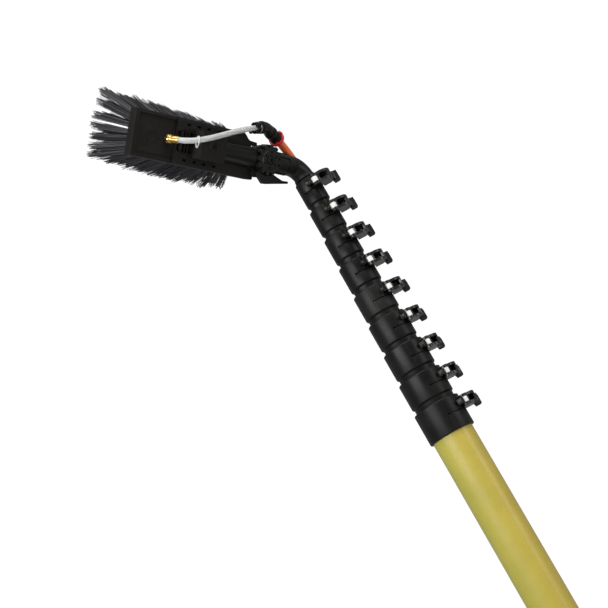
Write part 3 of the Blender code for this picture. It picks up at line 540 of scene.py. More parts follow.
cap_inner = tube_radius(SECTIONS) + GAP
cap_outer = cap_inner + 3 * MM
cap_profile = [(0, 0.0060), (cap_inner, 0.0060), (cap_inner, 0.0520), (cap_outer - 1.2 * MM, 0.0520)]
cap_profile += [(cap_outer - 0.4 * MM, 0.0516), (cap_outer, 0.0508)]
for level in (0.044, 0.038, 0.032, 0.026, 0.020):
    cap_profile += [(cap_outer, level + 1.0 * MM), (cap_outer - 0.9 * MM, level + 0.5 * MM)]
    cap_profile += [(cap_outer - 0.9 * MM, level - 0.5 * MM), (cap_outer, level - 1.0 * MM)]
cap_profile += [(cap_outer, 2.4 * MM), (cap_outer - 0.8 * MM, 0.7 * MM), (cap_outer - 2.4 * MM, 0), (0, 0)]
cap = turned("butt_cap_rubber", cap_profile, sides=96)
outlet_cut = rod(6.5 * MM, (0, -0.0185, -0.01), (0, -0.0185, 0.01))
treads = [
    box((-0.028, y - 0.7 * MM, -0.01), (0.028, y + 0.7 * MM, 0.8 * MM)) for y in (0.006, 0.012, 0.018)
]
carve(cap, cuts=[outlet_cut, *treads])
piece("butt_cap_rubber", cap, RUBBER, "base", "butt_cap")


# -------------------- collars and their clamps
def collar_piece(k, clamp):
    top, own = collar_top(k), tube_radius(k + 1)
    outer, grip = own + COLLAR_WALL, tube_radius(k) + GAP
    bottom, shoulder = top - PITCH + GAP, top - SHOULDER + GAP
    profile = [(grip + 0.6 * MM, top), (outer - 1.3 * MM, top)]
    profile += [(outer - 0.5 * MM, top - 0.3 * MM), (outer, top - 1.2 * MM)]
    if k == COLLARS:
        profile += [(outer, bottom + 1.2 * MM), (outer - 0.5 * MM, bottom + 0.3 * MM)]
        profile += [(outer - 1.3 * MM, bottom)]
    else:
        neck = bottom + NECK_HEIGHT
        profile += [(outer, neck + NECK_STEP), (outer - 1.3 * MM, neck + 0.9 * MM), (outer - NECK_STEP, neck)]
        profile += [(outer - NECK_STEP, bottom)]
    profile += [(own + GAP, bottom), (own + GAP, shoulder), (grip, shoulder), (grip, top - 0.6 * MM)]
    made = turned("collar", profile, sides=128)
    ear_side = EAR_HALF_GAP + EAR_THICKNESS
    reach = outer + EAR_REACH
    ear = plate(
        [[(outer - 2 * MM, -ear_side), (reach - 2 * MM, -ear_side), (reach - 0.6 * MM, -ear_side + 0.6 * MM),
          (reach, -ear_side + 2 * MM), (reach, ear_side - 2 * MM), (reach - 0.6 * MM, ear_side - 0.6 * MM),
          (reach - 2 * MM, ear_side), (outer - 2 * MM, ear_side)]],
        EAR_BOTTOM, EAR_TOP, clamp,
    )
    wedge = [(0, 0)]
    for i in range(25):
        turn = math.radians(44) * (i / 12 - 1)
        wedge.append((2 * outer * math.cos(turn), 2 * outer * math.sin(turn)))
    middle = (EAR_TOP + EAR_BOTTOM) / 2
    notch = Matrix.Rotation(math.radians(-42), 4, "Z")
    slit_level = -SLIT_DEPTH - SLIT_WIDTH / 2
    carve(
        made,
        joins=[ear],
        cuts=[
            plate([wedge], -SLIT_DEPTH - SLIT_WIDTH, -SLIT_DEPTH, clamp),
            box((0, -EAR_HALF_GAP, slit_level), (2 * outer, EAR_HALF_GAP, 9 * MM), clamp),
            rod(2.2 * MM, (outer + BOLT_REACH, -0.02, middle), (outer + BOLT_REACH, 0.02, middle), clamp, 24),
            rod(1.5 * MM, (grip + 0.001, 0, slit_level), (2 * outer, 0, slit_level), clamp @ notch, 24),
        ],
    )
    body = tube_body(k + 1)
    piece(f"collar_{k}_shell", made, COLLAR, body, f"collar_{k}", bevel=0.35 * MM)


def bolt_pieces(k, hinge):
    body = tube_body(k + 1)
    low, high, r = EAR_BOTTOM, EAR_TOP, 5.0 * MM
    barrel = turned(
        "barrel",
        ((0, high), (r - 0.6 * MM, high), (r, high - 0.6 * MM),
         (r, low + 0.6 * MM), (r - 0.6 * MM, low), (0, low)),
        hinge, 48,
    )
    # a moulding line proud of the barrel
    rib = box((r - 0.5 * MM, 0.6 * MM, low + 0.5 * MM), (r + 0.15 * MM, 1.2 * MM, high - 0.5 * MM), hinge)
    carve(barrel, joins=[rib])
    piece(f"barrel_{k}", barrel, BARREL, body, f"t_bolt_{k}", bevel=0.15 * MM)
    middle = (high + low) / 2
    nut_face = -BARREL_OFFSET - EAR_HALF_GAP - EAR_THICKNESS - GAP
    stud_end = nut_face - 3.6 * MM
    threads, pitch, count = [(0, 0), (1.6 * MM, 0)], 0.5 * MM, 6
    for i in range(count):
        z = 0.2 * MM + pitch * i
        threads += [(1.9 * MM, z + pitch * 0.35), (1.6 * MM, z + pitch * 0.85)]
    shank_len = (-3.6 * MM) - stud_end
    threads += [(1.9 * MM, pitch * count + 0.6 * MM), (1.9 * MM, shank_len), (0, shank_len)]
    aim = Matrix.Translation((0, stud_end, middle)) @ Matrix.Rotation(-math.pi / 2, 4, "X")
    shank = turned("shank", threads, hinge @ aim, 32)
    pins = [
        turned("pin", ((0, LEVER_TOP - 0.1 * MM), (1.6 * MM, LEVER_TOP - 0.1 * MM),
                       (2.0 * MM, LEVER_TOP - 0.5 * MM), (2.0 * MM, EAR_TOP), (0, EAR_TOP)), hinge, 32),
        turned("pin", ((0, EAR_BOTTOM), (2.0 * MM, EAR_BOTTOM), (2.0 * MM, LEVER_BOTTOM + 0.5 * MM),
                       (1.6 * MM, LEVER_BOTTOM + 0.1 * MM), (0, LEVER_BOTTOM + 0.1 * MM)), hinge, 32),
    ]
    piece(f"shank_{k}", shank, STEEL, body)
    for which, pin in zip(("top", "bottom"), pins, strict=True):
        piece(f"pivot_{which}_{k}", pin, STEEL, body)
    nut = rod(3.0 * MM, (0, nut_face - 3.0 * MM, middle), (0, nut_face, middle), hinge, 6)
    washer = rod(3.1 * MM, (0, nut_face - 0.7 * MM, middle), (0, nut_face - 0.05 * MM, middle), hinge, 32)
    bore = rod(2.05 * MM, (0, nut_face - 6 * MM, middle), (0, nut_face + 3 * MM, middle), hinge, 24)
    carve(nut, joins=[washer], cuts=[bore])
    piece(f"nut_{k}", nut, STEEL, body, f"adjuster_{k}", bevel=0.3 * MM)


def lever_piece(k, hinge, outer):
    """Cam lever: two flanges that follow the collar, a web and ribs between them, and a thumb tab."""
    axis_x, axis_y = outer + BOLT_REACH, BARREL_OFFSET
    hinge_radius = math.hypot(axis_x, axis_y)
    hinge_turn = math.atan2(axis_y, axis_x)
    inner, width, bulge, boss = outer + 1.4 * MM, 11.5 * MM, 8.5 * MM, 5.4 * MM
    far_turn = hinge_turn + LEVER_ARC / hinge_radius
    first_turn = hinge_turn + 0.10

    def polar(radius, turn):
        return (radius * math.cos(turn) - axis_x, radius * math.sin(turn) - axis_y)

    def outer_edge(share, inset=0.0):
        turn = first_turn + (far_turn - first_turn) * share
        return polar(inner + width - inset + bulge * math.sin(math.pi * share) ** 0.8, turn)

    start_in = hinge_turn + boss * 0.55 / inner
    steps = 28
    outline = [outer_edge(i / steps) for i in range(steps + 1)]
    for i in range(steps + 1):
        outline.append(polar(inner, start_in + (far_turn - start_in) * (1 - i / steps)))
    boss_from = math.atan2(outline[-1][1], outline[-1][0])
    boss_to = math.atan2(outline[0][1], outline[0][0])
    swing = (boss_to - boss_from) % math.tau
    for i in range(1, 20):
        turn = boss_from + swing * i / 20
        outline.append((boss * math.cos(turn), boss * math.sin(turn)))
    hole = circle(PIVOT_HOLE, 32)
    thick = 4.0 * MM
    upper = plate([outline, hole], LEVER_TOP - thick, LEVER_TOP, hinge)
    lower = plate([outline, hole], LEVER_BOTTOM, LEVER_BOTTOM + thick, hinge)
    shares = [0.40 + 0.58 * i / 16 for i in range(17)]
    web = [outer_edge(s, 0.2 * MM) for s in shares] + [outer_edge(s, 3.0 * MM) for s in reversed(shares)]
    shell = plate([web], LEVER_BOTTOM + 0.5 * MM, LEVER_TOP - 0.5 * MM, hinge)
    rib_at = far_turn - 0.30 * (far_turn - first_turn)
    rib = plate(
        [[polar(inner + 1.0 * MM, rib_at - 0.02), polar(inner + width, rib_at - 0.02),
          polar(inner + width, rib_at + 0.02), polar(inner + 1.0 * MM, rib_at + 0.02)]],
        LEVER_BOTTOM + 1 * MM, LEVER_TOP - 1 * MM, hinge,
    )
    tab_turn = far_turn - 0.55 * 3.2 * MM / (inner + width)
    start = Vector(polar(inner + 0.6 * width, tab_turn))
    stop = Vector(polar(outer + 27.5 * MM, tab_turn))
    side = (stop - start).normalized().orthogonal() * 1.6 * MM
    radial = (stop - start).normalized().to_3d()
    reach, tab_low, tab_high = (stop - start).length, LEVER_BOTTOM - 4.5 * MM, LEVER_TOP - 3.4 * MM
    tab_edge = [(0, LEVER_BOTTOM + 2 * MM), (0.40 * reach, LEVER_BOTTOM + 1 * MM), (0.48 * reach, tab_low)]
    tab_corners = (
        (3.0 * MM, tab_low + 3.0 * MM, range(-90, 1, 15)),
        (5.0 * MM, tab_high - 5.0 * MM, range(0, 91, 15)),
    )
    for corner, level, turns in tab_corners:
        for t in turns:
            turn = math.radians(t)
            tab_edge.append((reach - corner + corner * math.cos(turn), level + corner * math.sin(turn)))
    tab_edge.append((0, tab_high))
    up = Vector((0, 0, 1))
    tab_place = Matrix((radial, up, radial.cross(up))).transposed().to_4x4()
    tab_place.translation = start.to_3d()
    thumb = plate([tab_edge], -1.6 * MM, 1.6 * MM, hinge @ tab_place)
    tail = [Vector(outer_edge(0.58, 1.5 * MM))]
    knee, lip = Vector(outer_edge(0.90)), stop + side * 0.4
    for i in range(1, 9):
        t = i / 9
        tail.append(tail[0] * (1 - t) ** 2 + knee * 2 * t * (1 - t) + lip * t * t)
    tail += [lip, start + side]
    gusset = plate([[tuple(p) for p in tail]], LEVER_BOTTOM + 1.5 * MM, LEVER_TOP - 3.0 * MM, hinge)
    first, last = LOBE_TURNS
    lobe = arc(5.3 * MM, range(first, last + 1, 5)) + arc(7.2 * MM, range(last, first - 1, -5))
    cam = plate([lobe], LEVER_BOTTOM + 2.0 * MM, LEVER_TOP - 2.0 * MM, hinge)
    carve(upper, joins=[lower, shell, rib, gusset, cam, thumb])
    piece(f"lever_{k}_cam", upper, LEVER, f"cam_{k}", f"lever_{k}", bevel=0.45 * MM)


for k, turn_deg in enumerate(TURNS_DEG, start=1):
    collar_radius = tube_radius(k + 1) + COLLAR_WALL
    clamp_height = collar_top(k) - CLAMP_DROP * (k - 1)
    clamp_place = Matrix.Translation((0, 0, clamp_height)) @ Matrix.Rotation(math.radians(turn_deg), 4, "Z")
    hinge_place = clamp_place @ Matrix.Translation((collar_radius + BOLT_REACH, BARREL_OFFSET, 0))
    collar_piece(k, clamp_place)
    bolt_pieces(k, hinge_place)
    lever_piece(k, hinge_place, collar_radius)


# -------------------- gooseneck
bend_angle = math.pi / 2 - RISE
tangent_length = BEND_RADIUS * math.tan(bend_angle / 2)
bend_centre = bend_point + Vector((BEND_RADIUS, 0, -tangent_length))
neck_path = [Vector((0, 0, FIRST_COLLAR_TOP + 2 * MM + GAP))]
for i in range(25):
    turn = bend_angle * i / 24
    neck_path.append(bend_centre + BEND_RADIUS * Vector((-math.cos(turn), 0, math.sin(turn))))
knuckle_point = HEAD.translation
neck_path.append(knuckle_point - brush_axis * 12 * MM)
port_start = bend_point + Vector((-2, -1, -10)) * MM
port_aim = Vector((0.38, 0.17, 0.91)).normalized()
riser_tip = riser_end + leg_aim * 8 * MM
riser_start = port_start + port_aim * 3 * MM
riser_leave = port_start + port_aim * 24 * MM
riser_enter = riser_end - leg_aim * 3 * MM
riser_points = [riser_start]
riser_handles = (riser_leave + port_aim * 13 * MM, riser_enter - leg_aim * 13 * MM)
riser_points += bezier(riser_leave, *riser_handles, riser_enter, 24)
riser_points.append(riser_tip)

neck = sweep("neck", neck_path, NECK_RADIUS, 64)
spigot_radius = tube_radius(1) - WALL - GAP
spigot_top = FIRST_COLLAR_TOP + 4 * MM
neck_flange = turned(
    "flange",
    [(0, 0), (NECK_RADIUS + 1.1 * MM, 0), (NECK_RADIUS + 1.1 * MM, 3.2 * MM),
     (NECK_RADIUS + 0.5 * MM, 4.0 * MM), (0, 4.0 * MM)],
    Matrix.Translation((0, 0, FIRST_COLLAR_TOP + 2.4 * MM)),
)
sleeve_place = HEAD @ Matrix.Rotation(math.pi / 2, 4, "Y")
sleeve_radius = NECK_RADIUS + 0.9 * MM
sleeve = turned(
    "sleeve",
    [(0, -47.0 * MM), (sleeve_radius, -47.0 * MM), (sleeve_radius, -19.0 * MM), (0, -19.0 * MM)],
    sleeve_place,
)
carve(
    neck,
    joins=[
        rod(spigot_radius, (0, 0, spigot_top - 0.045), (0, 0, spigot_top), sides=64),
        neck_flange,
        sleeve,
    ],
    cuts=[
        rod(RELIEF, (0, 0, -0.03), (0, 0, -0.6 * MM), HEAD, 64),
        rod(RELIEF, (0, 0, 12.8 * MM), (0, 0, 0.03), HEAD, 64),
    ],
)
slots = []
for i in range(8):
    turn = math.radians(26 + 45 * i)
    centre = Vector((-0.0325, sleeve_radius * math.sin(turn), -sleeve_radius * math.cos(turn)))
    aim = Matrix.Translation(centre) @ Matrix.Rotation(turn, 4, "X")
    slots.append(box((-10.5 * MM, -2.5 * MM, -1.6 * MM), (10.5 * MM, 2.5 * MM, 1.6 * MM), HEAD @ aim))
port = sweep("port", [port_start, *riser_points], PORT_RADIUS, 32)
carve(
    neck,
    joins=[rod(DISC_RADIUS, (0, 0, -0.8 * MM), (0, 0, 13.0 * MM), HEAD, 64)],
    cuts=[
        rod(PORT_RADIUS, (0, 0, spigot_top - 0.06), (0, 0, bend_point.z - 3 * MM), sides=32),
        port,
        rod(BOLT_BORE, (0, 0, -0.03), (0, 0, 0.03), HEAD, 32),
        *slots,
    ],
)
piece("gooseneck_moulding", neck, HEAD_PLASTIC, "tip", "gooseneck", bevel=0.5 * MM)

# -------------------- knuckle
socket = rod(SOCKET_RADIUS, (0.006, 0, 0), (SOCKET_END, 0, 0), HEAD, 64)
latch_pivot = Vector((0.0139, -0.0218, 0))


def latch_rod(radius, low, high):
    return rod(radius, latch_pivot + Vector((0, 0, low)), latch_pivot + Vector((0, 0, high)), HEAD)


teeth = 24
serration = []
for i in range(teeth):
    for share, radius in ((-0.25, 22.4 * MM), (0.25, 22.4 * MM), (0.32, 20.6 * MM), (0.68, 20.6 * MM)):
        turn = math.tau * (i + share) / teeth
        serration.append((radius * math.cos(turn), radius * math.sin(turn)))
carve(
    socket,
    cuts=[
        rod(RELIEF, (0, 0, -1.6 * MM), (0, 0, 0.03), HEAD, 64),
        rod(RELIEF, (0, 0, -0.03), (0, 0, -9.8 * MM), HEAD, 64),
    ],
)
carve(
    socket,
    joins=[
        rod(DISC_RADIUS, (0, 0, -10.0 * MM), (0, 0, -1.4 * MM), HEAD, 64),
        latch_rod(6.0 * MM, -7.0 * MM, -1.5 * MM),
        latch_rod(2.0 * MM, -15.2 * MM, -6.0 * MM),
        rod(15.8 * MM, (0.0800, 0, 0), (0.0850, 0, 0), HEAD, 64),
    ],
    cuts=[
        rod(BOLT_BORE, (0, 0, -0.03), (0, 0, 0.03), HEAD),
        rod(12.5 * MM, (0.040, 0, 0), (0.150, 0, 0), HEAD, 48),
    ],
)
piece("brush_socket_moulding", socket, HEAD_PLASTIC, "brush_head", "brush_socket", bevel=0.4 * MM)
ring = plate([serration, circle(8.0 * MM, 48)], -9.6 * MM, -1.7 * MM, HEAD)
piece("knuckle_serration", ring, HEAD_PLASTIC, "brush_head", bevel=0.4 * MM)
lug_edge = arc(20.0 * MM, range(-118, -41, 4)) + arc(27.5 * MM, range(-42, -119, -4))
lug = plate([lug_edge], -6.9 * MM, -1.6 * MM, HEAD)
piece("latch_lug_plate", lug, HEAD_PLASTIC, "brush_head", bevel=0.4 * MM)

latch_outline = [
    (11.4, -19.8), (12.9, -18.8), (14.6, -18.5), (16.1, -19.2), (17.0, -20.4), (17.3, -21.8), (17.0, -23.2),
    (15.6, -24.9), (9.0, -29.9), (4.2, -34.0), (2.3, -35.0), (0.0, -34.9), (-20.0, -31.6), (-43.0, -28.0),
    (-44.0, -27.2), (-44.1, -25.4), (-43.1, -24.6), (-32.2, -25.0), (-24.0, -22.6), (-13.2, -19.0),
    (-10.2, -20.7), (-7.1, -21.9), (-3.6, -22.8), (0.0, -23.0), (3.2, -22.8), (6.1, -22.2), (8.9, -21.2),
]
latch = plate(
    [[(x * MM, y * MM) for x, y in latch_outline], circle(PIVOT_HOLE, 24, latch_pivot.xy)],
    -15.0 * MM, -7.3 * MM, HEAD,
)
piece("latch_hook", latch, HEAD_PLASTIC, "latch", "knuckle_latch", bevel=0.6 * MM)

knob_outline = []
for i in range(12):
    for share, radius in (
        (-0.27, 21.6), (-0.22, 22.2), (0.22, 22.2), (0.27, 21.6),
        (0.30, 18.4), (0.36, 17.8), (0.64, 17.8), (0.70, 18.4),
    ):
        turn = math.tau * (i + share) / 12
        knob_outline.append((radius * MM * math.cos(turn), radius * MM * math.sin(turn)))
knob = plate([knob_outline], -17.5 * MM, -10.3 * MM, HEAD)
dimples = []
for i in range(6):
    turn = math.tau * (i + 0.5) / 6
    spot = Vector((11.2 * MM * math.cos(turn), 11.2 * MM * math.sin(turn), 0))
    dimples.append(rod(1.9 * MM, spot + Vector((0, 0, -0.03)), spot + Vector((0, 0, -17.6 * MM)), HEAD, 24))
carve(
    knob,
    joins=[rod(15.0 * MM, (0, 0, -16.5 * MM), (0, 0, -19.0 * MM), HEAD, 64, 13.4 * MM)],
    cuts=[
        rod(BOLT_BORE, (0, 0, -0.04), (0, 0, 0), HEAD),
        rod(7.0 * MM, (0, 0, -0.04), (0, 0, -17.0 * MM), HEAD, 48),
        *dimples,
    ],
)
piece("knob_castle", knob, HEAD_PLASTIC, "knob", "knuckle_knob", bevel=0.5 * MM)

bolt = turned(
    "bolt",
    [(0, 15.0 * MM), (3.6 * MM, 15.0 * MM), (4.0 * MM, 14.6 * MM), (4.0 * MM, -17.3 * MM),
     (5.6 * MM, -17.3 * MM), (5.6 * MM, -19.4 * MM), (4.8 * MM, -20.2 * MM), (3.4 * MM, -20.4 * MM), (0, -20.4 * MM)],
    HEAD,
)
carve(bolt, cuts=[rod(2.6 * MM, (0, 0, -0.03), (0, 0, -18.4 * MM), HEAD, 6)])
piece("knuckle_bolt_head", bolt, BLACK_STEEL, "brush_head", "knuckle_bolt", bevel=0.2 * MM)

# -------------------- brush block
HALF = 0.0320
block = box((0.040, -HALF, 0.003), (0.231, HALF, 0.017), HEAD)
lower_rail = [
    (0.014, -0.0305), (0.0155, -0.0319), (0.017, -0.0322), (0.160, -0.0322), (0.160, -0.0135),
    (0.0255, -0.0135), (0.024, -0.0170), (0.014, -0.0172),
]
upper_rail = [
    (0.014, 0.0172), (0.024, 0.0170), (0.0255, 0.0135), (0.160, 0.0135), (0.160, 0.0322), (0.040, 0.0322),
    (0.036, 0.0292), (0.031, 0.0245), (0.0285, 0.0232), (0.025, 0.0226), (0.0155, 0.0222), (0.014, 0.0210),
]
rail_cuts = []
for side in (-1, 1):
    for i in range(4):
        centre = Vector((0.0880 + 0.0180 * i, side * 0.0245, -0.5 * MM))
        half = Vector((3.4 * MM, 1.7 * MM, 4.5 * MM))
        rail_cuts.append(box(centre - half, centre + half, HEAD))
    for i in range(5):
        centre = Vector((0.030 + 0.011 * i, side * 0.0262, -0.5 * MM))
        half = Vector((4.2 * MM, 0.35 * MM, 0.5 * MM))
        rail_cuts.append(box(centre - half, centre + half, HEAD))
carve(
    block,
    joins=[
        plate([lower_rail], -0.5 * MM, 13.0 * MM, HEAD),
        plate([upper_rail], -0.5 * MM, 13.0 * MM, HEAD),
        box((0.0855, -0.0195, -0.0180), (0.1290, 0.0195, 0.0060), HEAD),
        rod(7.5 * MM, (0.108, 0, -17.0 * MM), (0.108, 0, -19.6 * MM), HEAD, 48, 6.5 * MM),
    ],
)
bay_ribs = [
    box((0.1395 + 0.0055 * i, -0.0148, -2.0 * MM), (0.1407 + 0.0055 * i, 0.0148, 0.0080), HEAD)
    for i in range(3)
]
carve(
    block,
    cuts=[
        rod(15.04 * MM, (0, 0, 0), (0.1223, 0, 0), HEAD, 64),
        rod(4.6 * MM, (0.108, 0, -0.030), (0.108, 0, -18.2 * MM), HEAD, 40),
        rod(2.6 * MM, (0.108, 0, -0.030), (0.108, 0, -17.0 * MM), HEAD, 6),
        box((0.1335, -0.0150, -0.0100), (0.1555, 0.0150, 0.0075), HEAD),
        box((0.1590, -0.0272, -0.0100), (0.2245, 0.0272, 0.0055), HEAD),
        rod(4.5 * MM, (FITTING_X, 0, -0.0100), (FITTING_X, 0, 0.0125), HEAD, 32),
        *rail_cuts,
    ],
)
carve(
    block,
    joins=[
        *bay_ribs,
        rod(9.0 * MM, (0.1985, 0, 0.0050), (0.1985, 0, 0.0060), HEAD, 48),
        box((0.1640, -0.0240, 0.0050), (0.2190, -0.0232, 0.0060), HEAD),
        box((0.1640, 0.0232, 0.0050), (0.2190, 0.0240, 0.0060), HEAD),
        box((0.2260, -0.0290, 0.0025), (0.2290, 0.0290, 0.0033), HEAD),
    ],
    cuts=[rod(7.6 * MM, (0.1985, 0, 0.0), (0.1985, 0, 0.0056), HEAD, 48)],
)
piece("brush_block_moulding", block, BLOCK, "brush_head", "brush_block", bevel=0.6 * MM)

# -------------------- bristles
ROWS, COLUMNS, FILAMENTS = 7, 18, 44
BRISTLE_LENGTH, ROOT = 0.060, 0.0173
FIELD_LOW, FIELD_HIGH, FIELD_HALF = 0.043, 0.228, 0.029
PITCH_X, PITCH_Y = (FIELD_HIGH - FIELD_LOW) / COLUMNS, 2 * FIELD_HALF / ROWS


def tuft_lean(along, across):
    to_end = max(0.0, (along - 0.62) / 0.38)
    to_neck = max(0.0, (0.30 - along) / 0.30)
    neck_lean = math.tan(math.radians(22.0 - 13.0 * min(0.0, across)))
    lean_x = math.tan(math.radians(33)) * to_end - neck_lean * to_neck
    further = 15.0 * along if across > 0 else 9.0 * (1 - along)
    return lean_x, math.tan(math.radians(18.0 + further)) * across


def make_bristles():
    dice = random.Random(11)
    verts, faces = [], []
    rings, corners = 6, 3
    for i in range(COLUMNS):
        for j in range(ROWS):
            along, across = (i + 0.5) / COLUMNS, 2 * (j + 0.5) / ROWS - 1
            lean_x, lean_y = tuft_lean(along, across)
            centre = Vector((FIELD_LOW + PITCH_X * (i + 0.5), -FIELD_HALF + PITCH_Y * (j + 0.5), ROOT))
            tuft_length = BRISTLE_LENGTH * (1.0 - 0.035 * dice.random())
            twist = Vector((dice.gauss(0, 0.025), dice.gauss(0, 0.025), 0))
            for _ in range(FILAMENTS + (12 if j in (0, ROWS - 1) else 0)):
                spread, turn = math.sqrt(dice.random()), math.tau * dice.random()
                off = Vector((spread * math.cos(turn), spread * math.sin(turn), 0))
                root = centre + Vector((off.x * 4.3 * MM, off.y * 3.1 * MM, 0))
                aim_x = lean_x + off.x * 0.095 + dice.gauss(0, 0.016)
                aim_y = lean_y + off.y * 0.050 + dice.gauss(0, 0.016)
                aim = (Vector((aim_x, aim_y, 1)) + twist).normalized()
                length = tuft_length * (1.0 - 0.06 * dice.random() ** 2)
                side = aim.orthogonal().normalized()
                side.rotate(Quaternion(aim, math.tau * dice.random()))
                beside = aim.cross(side)
                phase, waves = math.tau * dice.random(), 3.2 + 0.8 * dice.random()
                crimp = 0.28 * MM
                first = len(verts)
                for ring in range(rings):
                    t = ring / (rings - 1)
                    sway = crimp * math.sin(math.tau * waves * t + phase) * min(1.0, 3 * t)
                    at = root + aim * length * t + side * sway
                    thick = 0.50 * MM * (1.0 - 0.30 * t)
                    for c in range(corners):
                        angle = math.tau * c / corners
                        verts.append(at + thick * (side * math.cos(angle) + beside * math.sin(angle)))
                for ring in range(rings - 1):
                    base = first + ring * corners
                    for c in range(corners):
                        d = (c + 1) % corners
                        faces.append((base + c, base + d, base + corners + d, base + corners + c))
                faces.append((first + 2, first + 1, first))
                last = first + (rings - 1) * corners
                faces.append((last, last + 1, last + 2))
    data = bpy.data.meshes.new("bristle_tufts")
    data.from_pydata([HEAD @ v for v in verts], [], faces)
    data.update()
    made = bpy.data.objects.new("bristle_tufts", data)
    scene.collection.objects.link(made)
    return made


piece("bristle_tufts", make_bristles(), BRISTLE, "brush_head", "bristles", angle=80)
seat = box((0.0432, -0.0288, 17.2 * MM), (0.2278, 0.0288, 18.6 * MM), HEAD, round_off=0.5 * MM)
well_mesh = bmesh.new()
for i in range(COLUMNS):
    for j in range(ROWS):
        x, y = FIELD_LOW + PITCH_X * (i + 0.5), -FIELD_HALF + PITCH_Y * (j + 0.5)
        bmesh.ops.create_cone(
            well_mesh, cap_ends=True, segments=12, radius1=3.8 * MM, radius2=3.5 * MM, depth=0.8 * MM,
            matrix=Matrix.Translation((x, y, 18.8 * MM)),
        )
rims = from_bmesh("rims", well_mesh, HEAD)
piece("bristle_seat", seat, BLOCK, "brush_head")
piece("bristle_rims", rims, BLOCK, "brush_head")

# -------------------- water line
riser = sweep("riser", riser_points, RISER_RADIUS, 48)
piece("riser_hose_orange", riser, ORANGE, "tip", "riser_hose", bevel=0.3 * MM)


def along(origin, aim):
    """A frame with its Z along aim."""
    made = aim.to_track_quat("Z", "Y").to_matrix().to_4x4()
    made.translation = origin
    return made


def elbow_ring(name, profile_mm, place):
    return turned(name, [(radius * MM, height * MM) for radius, height in profile_mm], place, 48)


clip_place = along(riser_end, leg_aim)
clip_profile = [
    (6.3 * MM, -3.2 * MM), (11.0 * MM, -3.2 * MM), (11.6 * MM, -2.6 * MM), (11.6 * MM, 0.7 * MM),
    (11.1 * MM, 1.2 * MM), (8.9 * MM, 1.2 * MM), (8.9 * MM, 0.3 * MM), (6.3 * MM, 0.3 * MM),
]
clip = turned("clip", clip_profile, clip_place, 64)
tabs = []
for i in range(3):
    turn = Matrix.Rotation(math.tau * i / 3 + 0.4, 4, "Z")
    low, high = (8.9 * MM, -2.6 * MM, -2.0 * MM), (12.2 * MM, 2.6 * MM, 4.2 * MM)
    tabs.append(box(low, high, clip_place @ turn, round_off=0.6 * MM))
slit_place = clip_place @ Matrix.Rotation(-0.9, 4, "Z")
slit = box((5.0 * MM, -0.8 * MM, -5 * MM), (14 * MM, 0.8 * MM, 5 * MM), slit_place)
carve(clip, joins=tabs, cuts=[slit])
piece("hose_clip_crimson", clip, CLIP, "tip", "hose_clip", bevel=0.3 * MM)

corner_reach = 7.0 * MM
elbow_path = [riser_end + leg_aim * 1.2 * MM]
elbow_path += bezier(
    elbow_corner - leg_aim * corner_reach, elbow_corner - leg_aim * corner_reach * 0.4,
    elbow_corner + outlet_aim * corner_reach * 0.4, elbow_corner + outlet_aim * corner_reach, 12,
)
elbow_path.append(outlet_end - outlet_aim * 4.2 * MM)
elbow = sweep("elbow", elbow_path, 8.3 * MM, 48)
mouth_place = along(outlet_end, outlet_aim)
bead_place = along(riser_end + leg_aim * 16 * MM, leg_aim)
root_place = along(riser_end + leg_aim * 2.4 * MM, leg_aim)
notches = []
for i in range(3):
    turn = Matrix.Rotation(math.pi * i / 3, 4, "Z")
    notches.append(box((-12 * MM, -1.5 * MM, -4.5 * MM), (12 * MM, 1.5 * MM, 1 * MM), mouth_place @ turn))
carve(
    elbow,
    joins=[
        elbow_ring("bead", ((0, 0), (9.3, 0), (9.6, 0.4), (9.6, 4.6), (9.3, 5.0), (0, 5.0)), bead_place),
        *[
            elbow_ring("rib", ((0, z), (9.0, z), (9.0, z + 0.9), (0, z + 0.9)), bead_place)
            for z in (-7.6, -5.6, -3.6, 7.2, 9.4)
        ],
        elbow_ring("lip", ((0, -17), (9.2, -17), (9.2, -12.5), (0, -12.5)), mouth_place),
        elbow_ring(
            "collet", ((0, -5), (8.0, -5), (8.0, -2.2), (8.7, -2.0), (8.7, -0.4), (8.3, 0), (0, 0)),
            mouth_place,
        ),
        elbow_ring("root", ((0, -1.0), (8.8, -1.0), (8.8, 3.4), (0, 3.4)), root_place),
    ],
    cuts=[
        rod(6.3 * MM, riser_end, riser_tip + leg_aim * GAP),
        rod(4.3 * MM, outlet_end - outlet_aim * 10 * MM, outlet_end + outlet_aim * 9 * MM),
        *notches,
    ],
)
piece("elbow_fitting_body", elbow, HEAD_PLASTIC, "tip", "elbow_fitting", bevel=0.35 * MM)
band = turned(
    "band",
    [(8.2 * MM, -6.6 * MM), (8.75 * MM, -6.6 * MM), (8.75 * MM, -5.7 * MM), (8.2 * MM, -5.7 * MM)],
    mouth_place, 64,
)
piece("elbow_band", band, BRIGHT_STEEL, "tip", bevel=0.12 * MM)

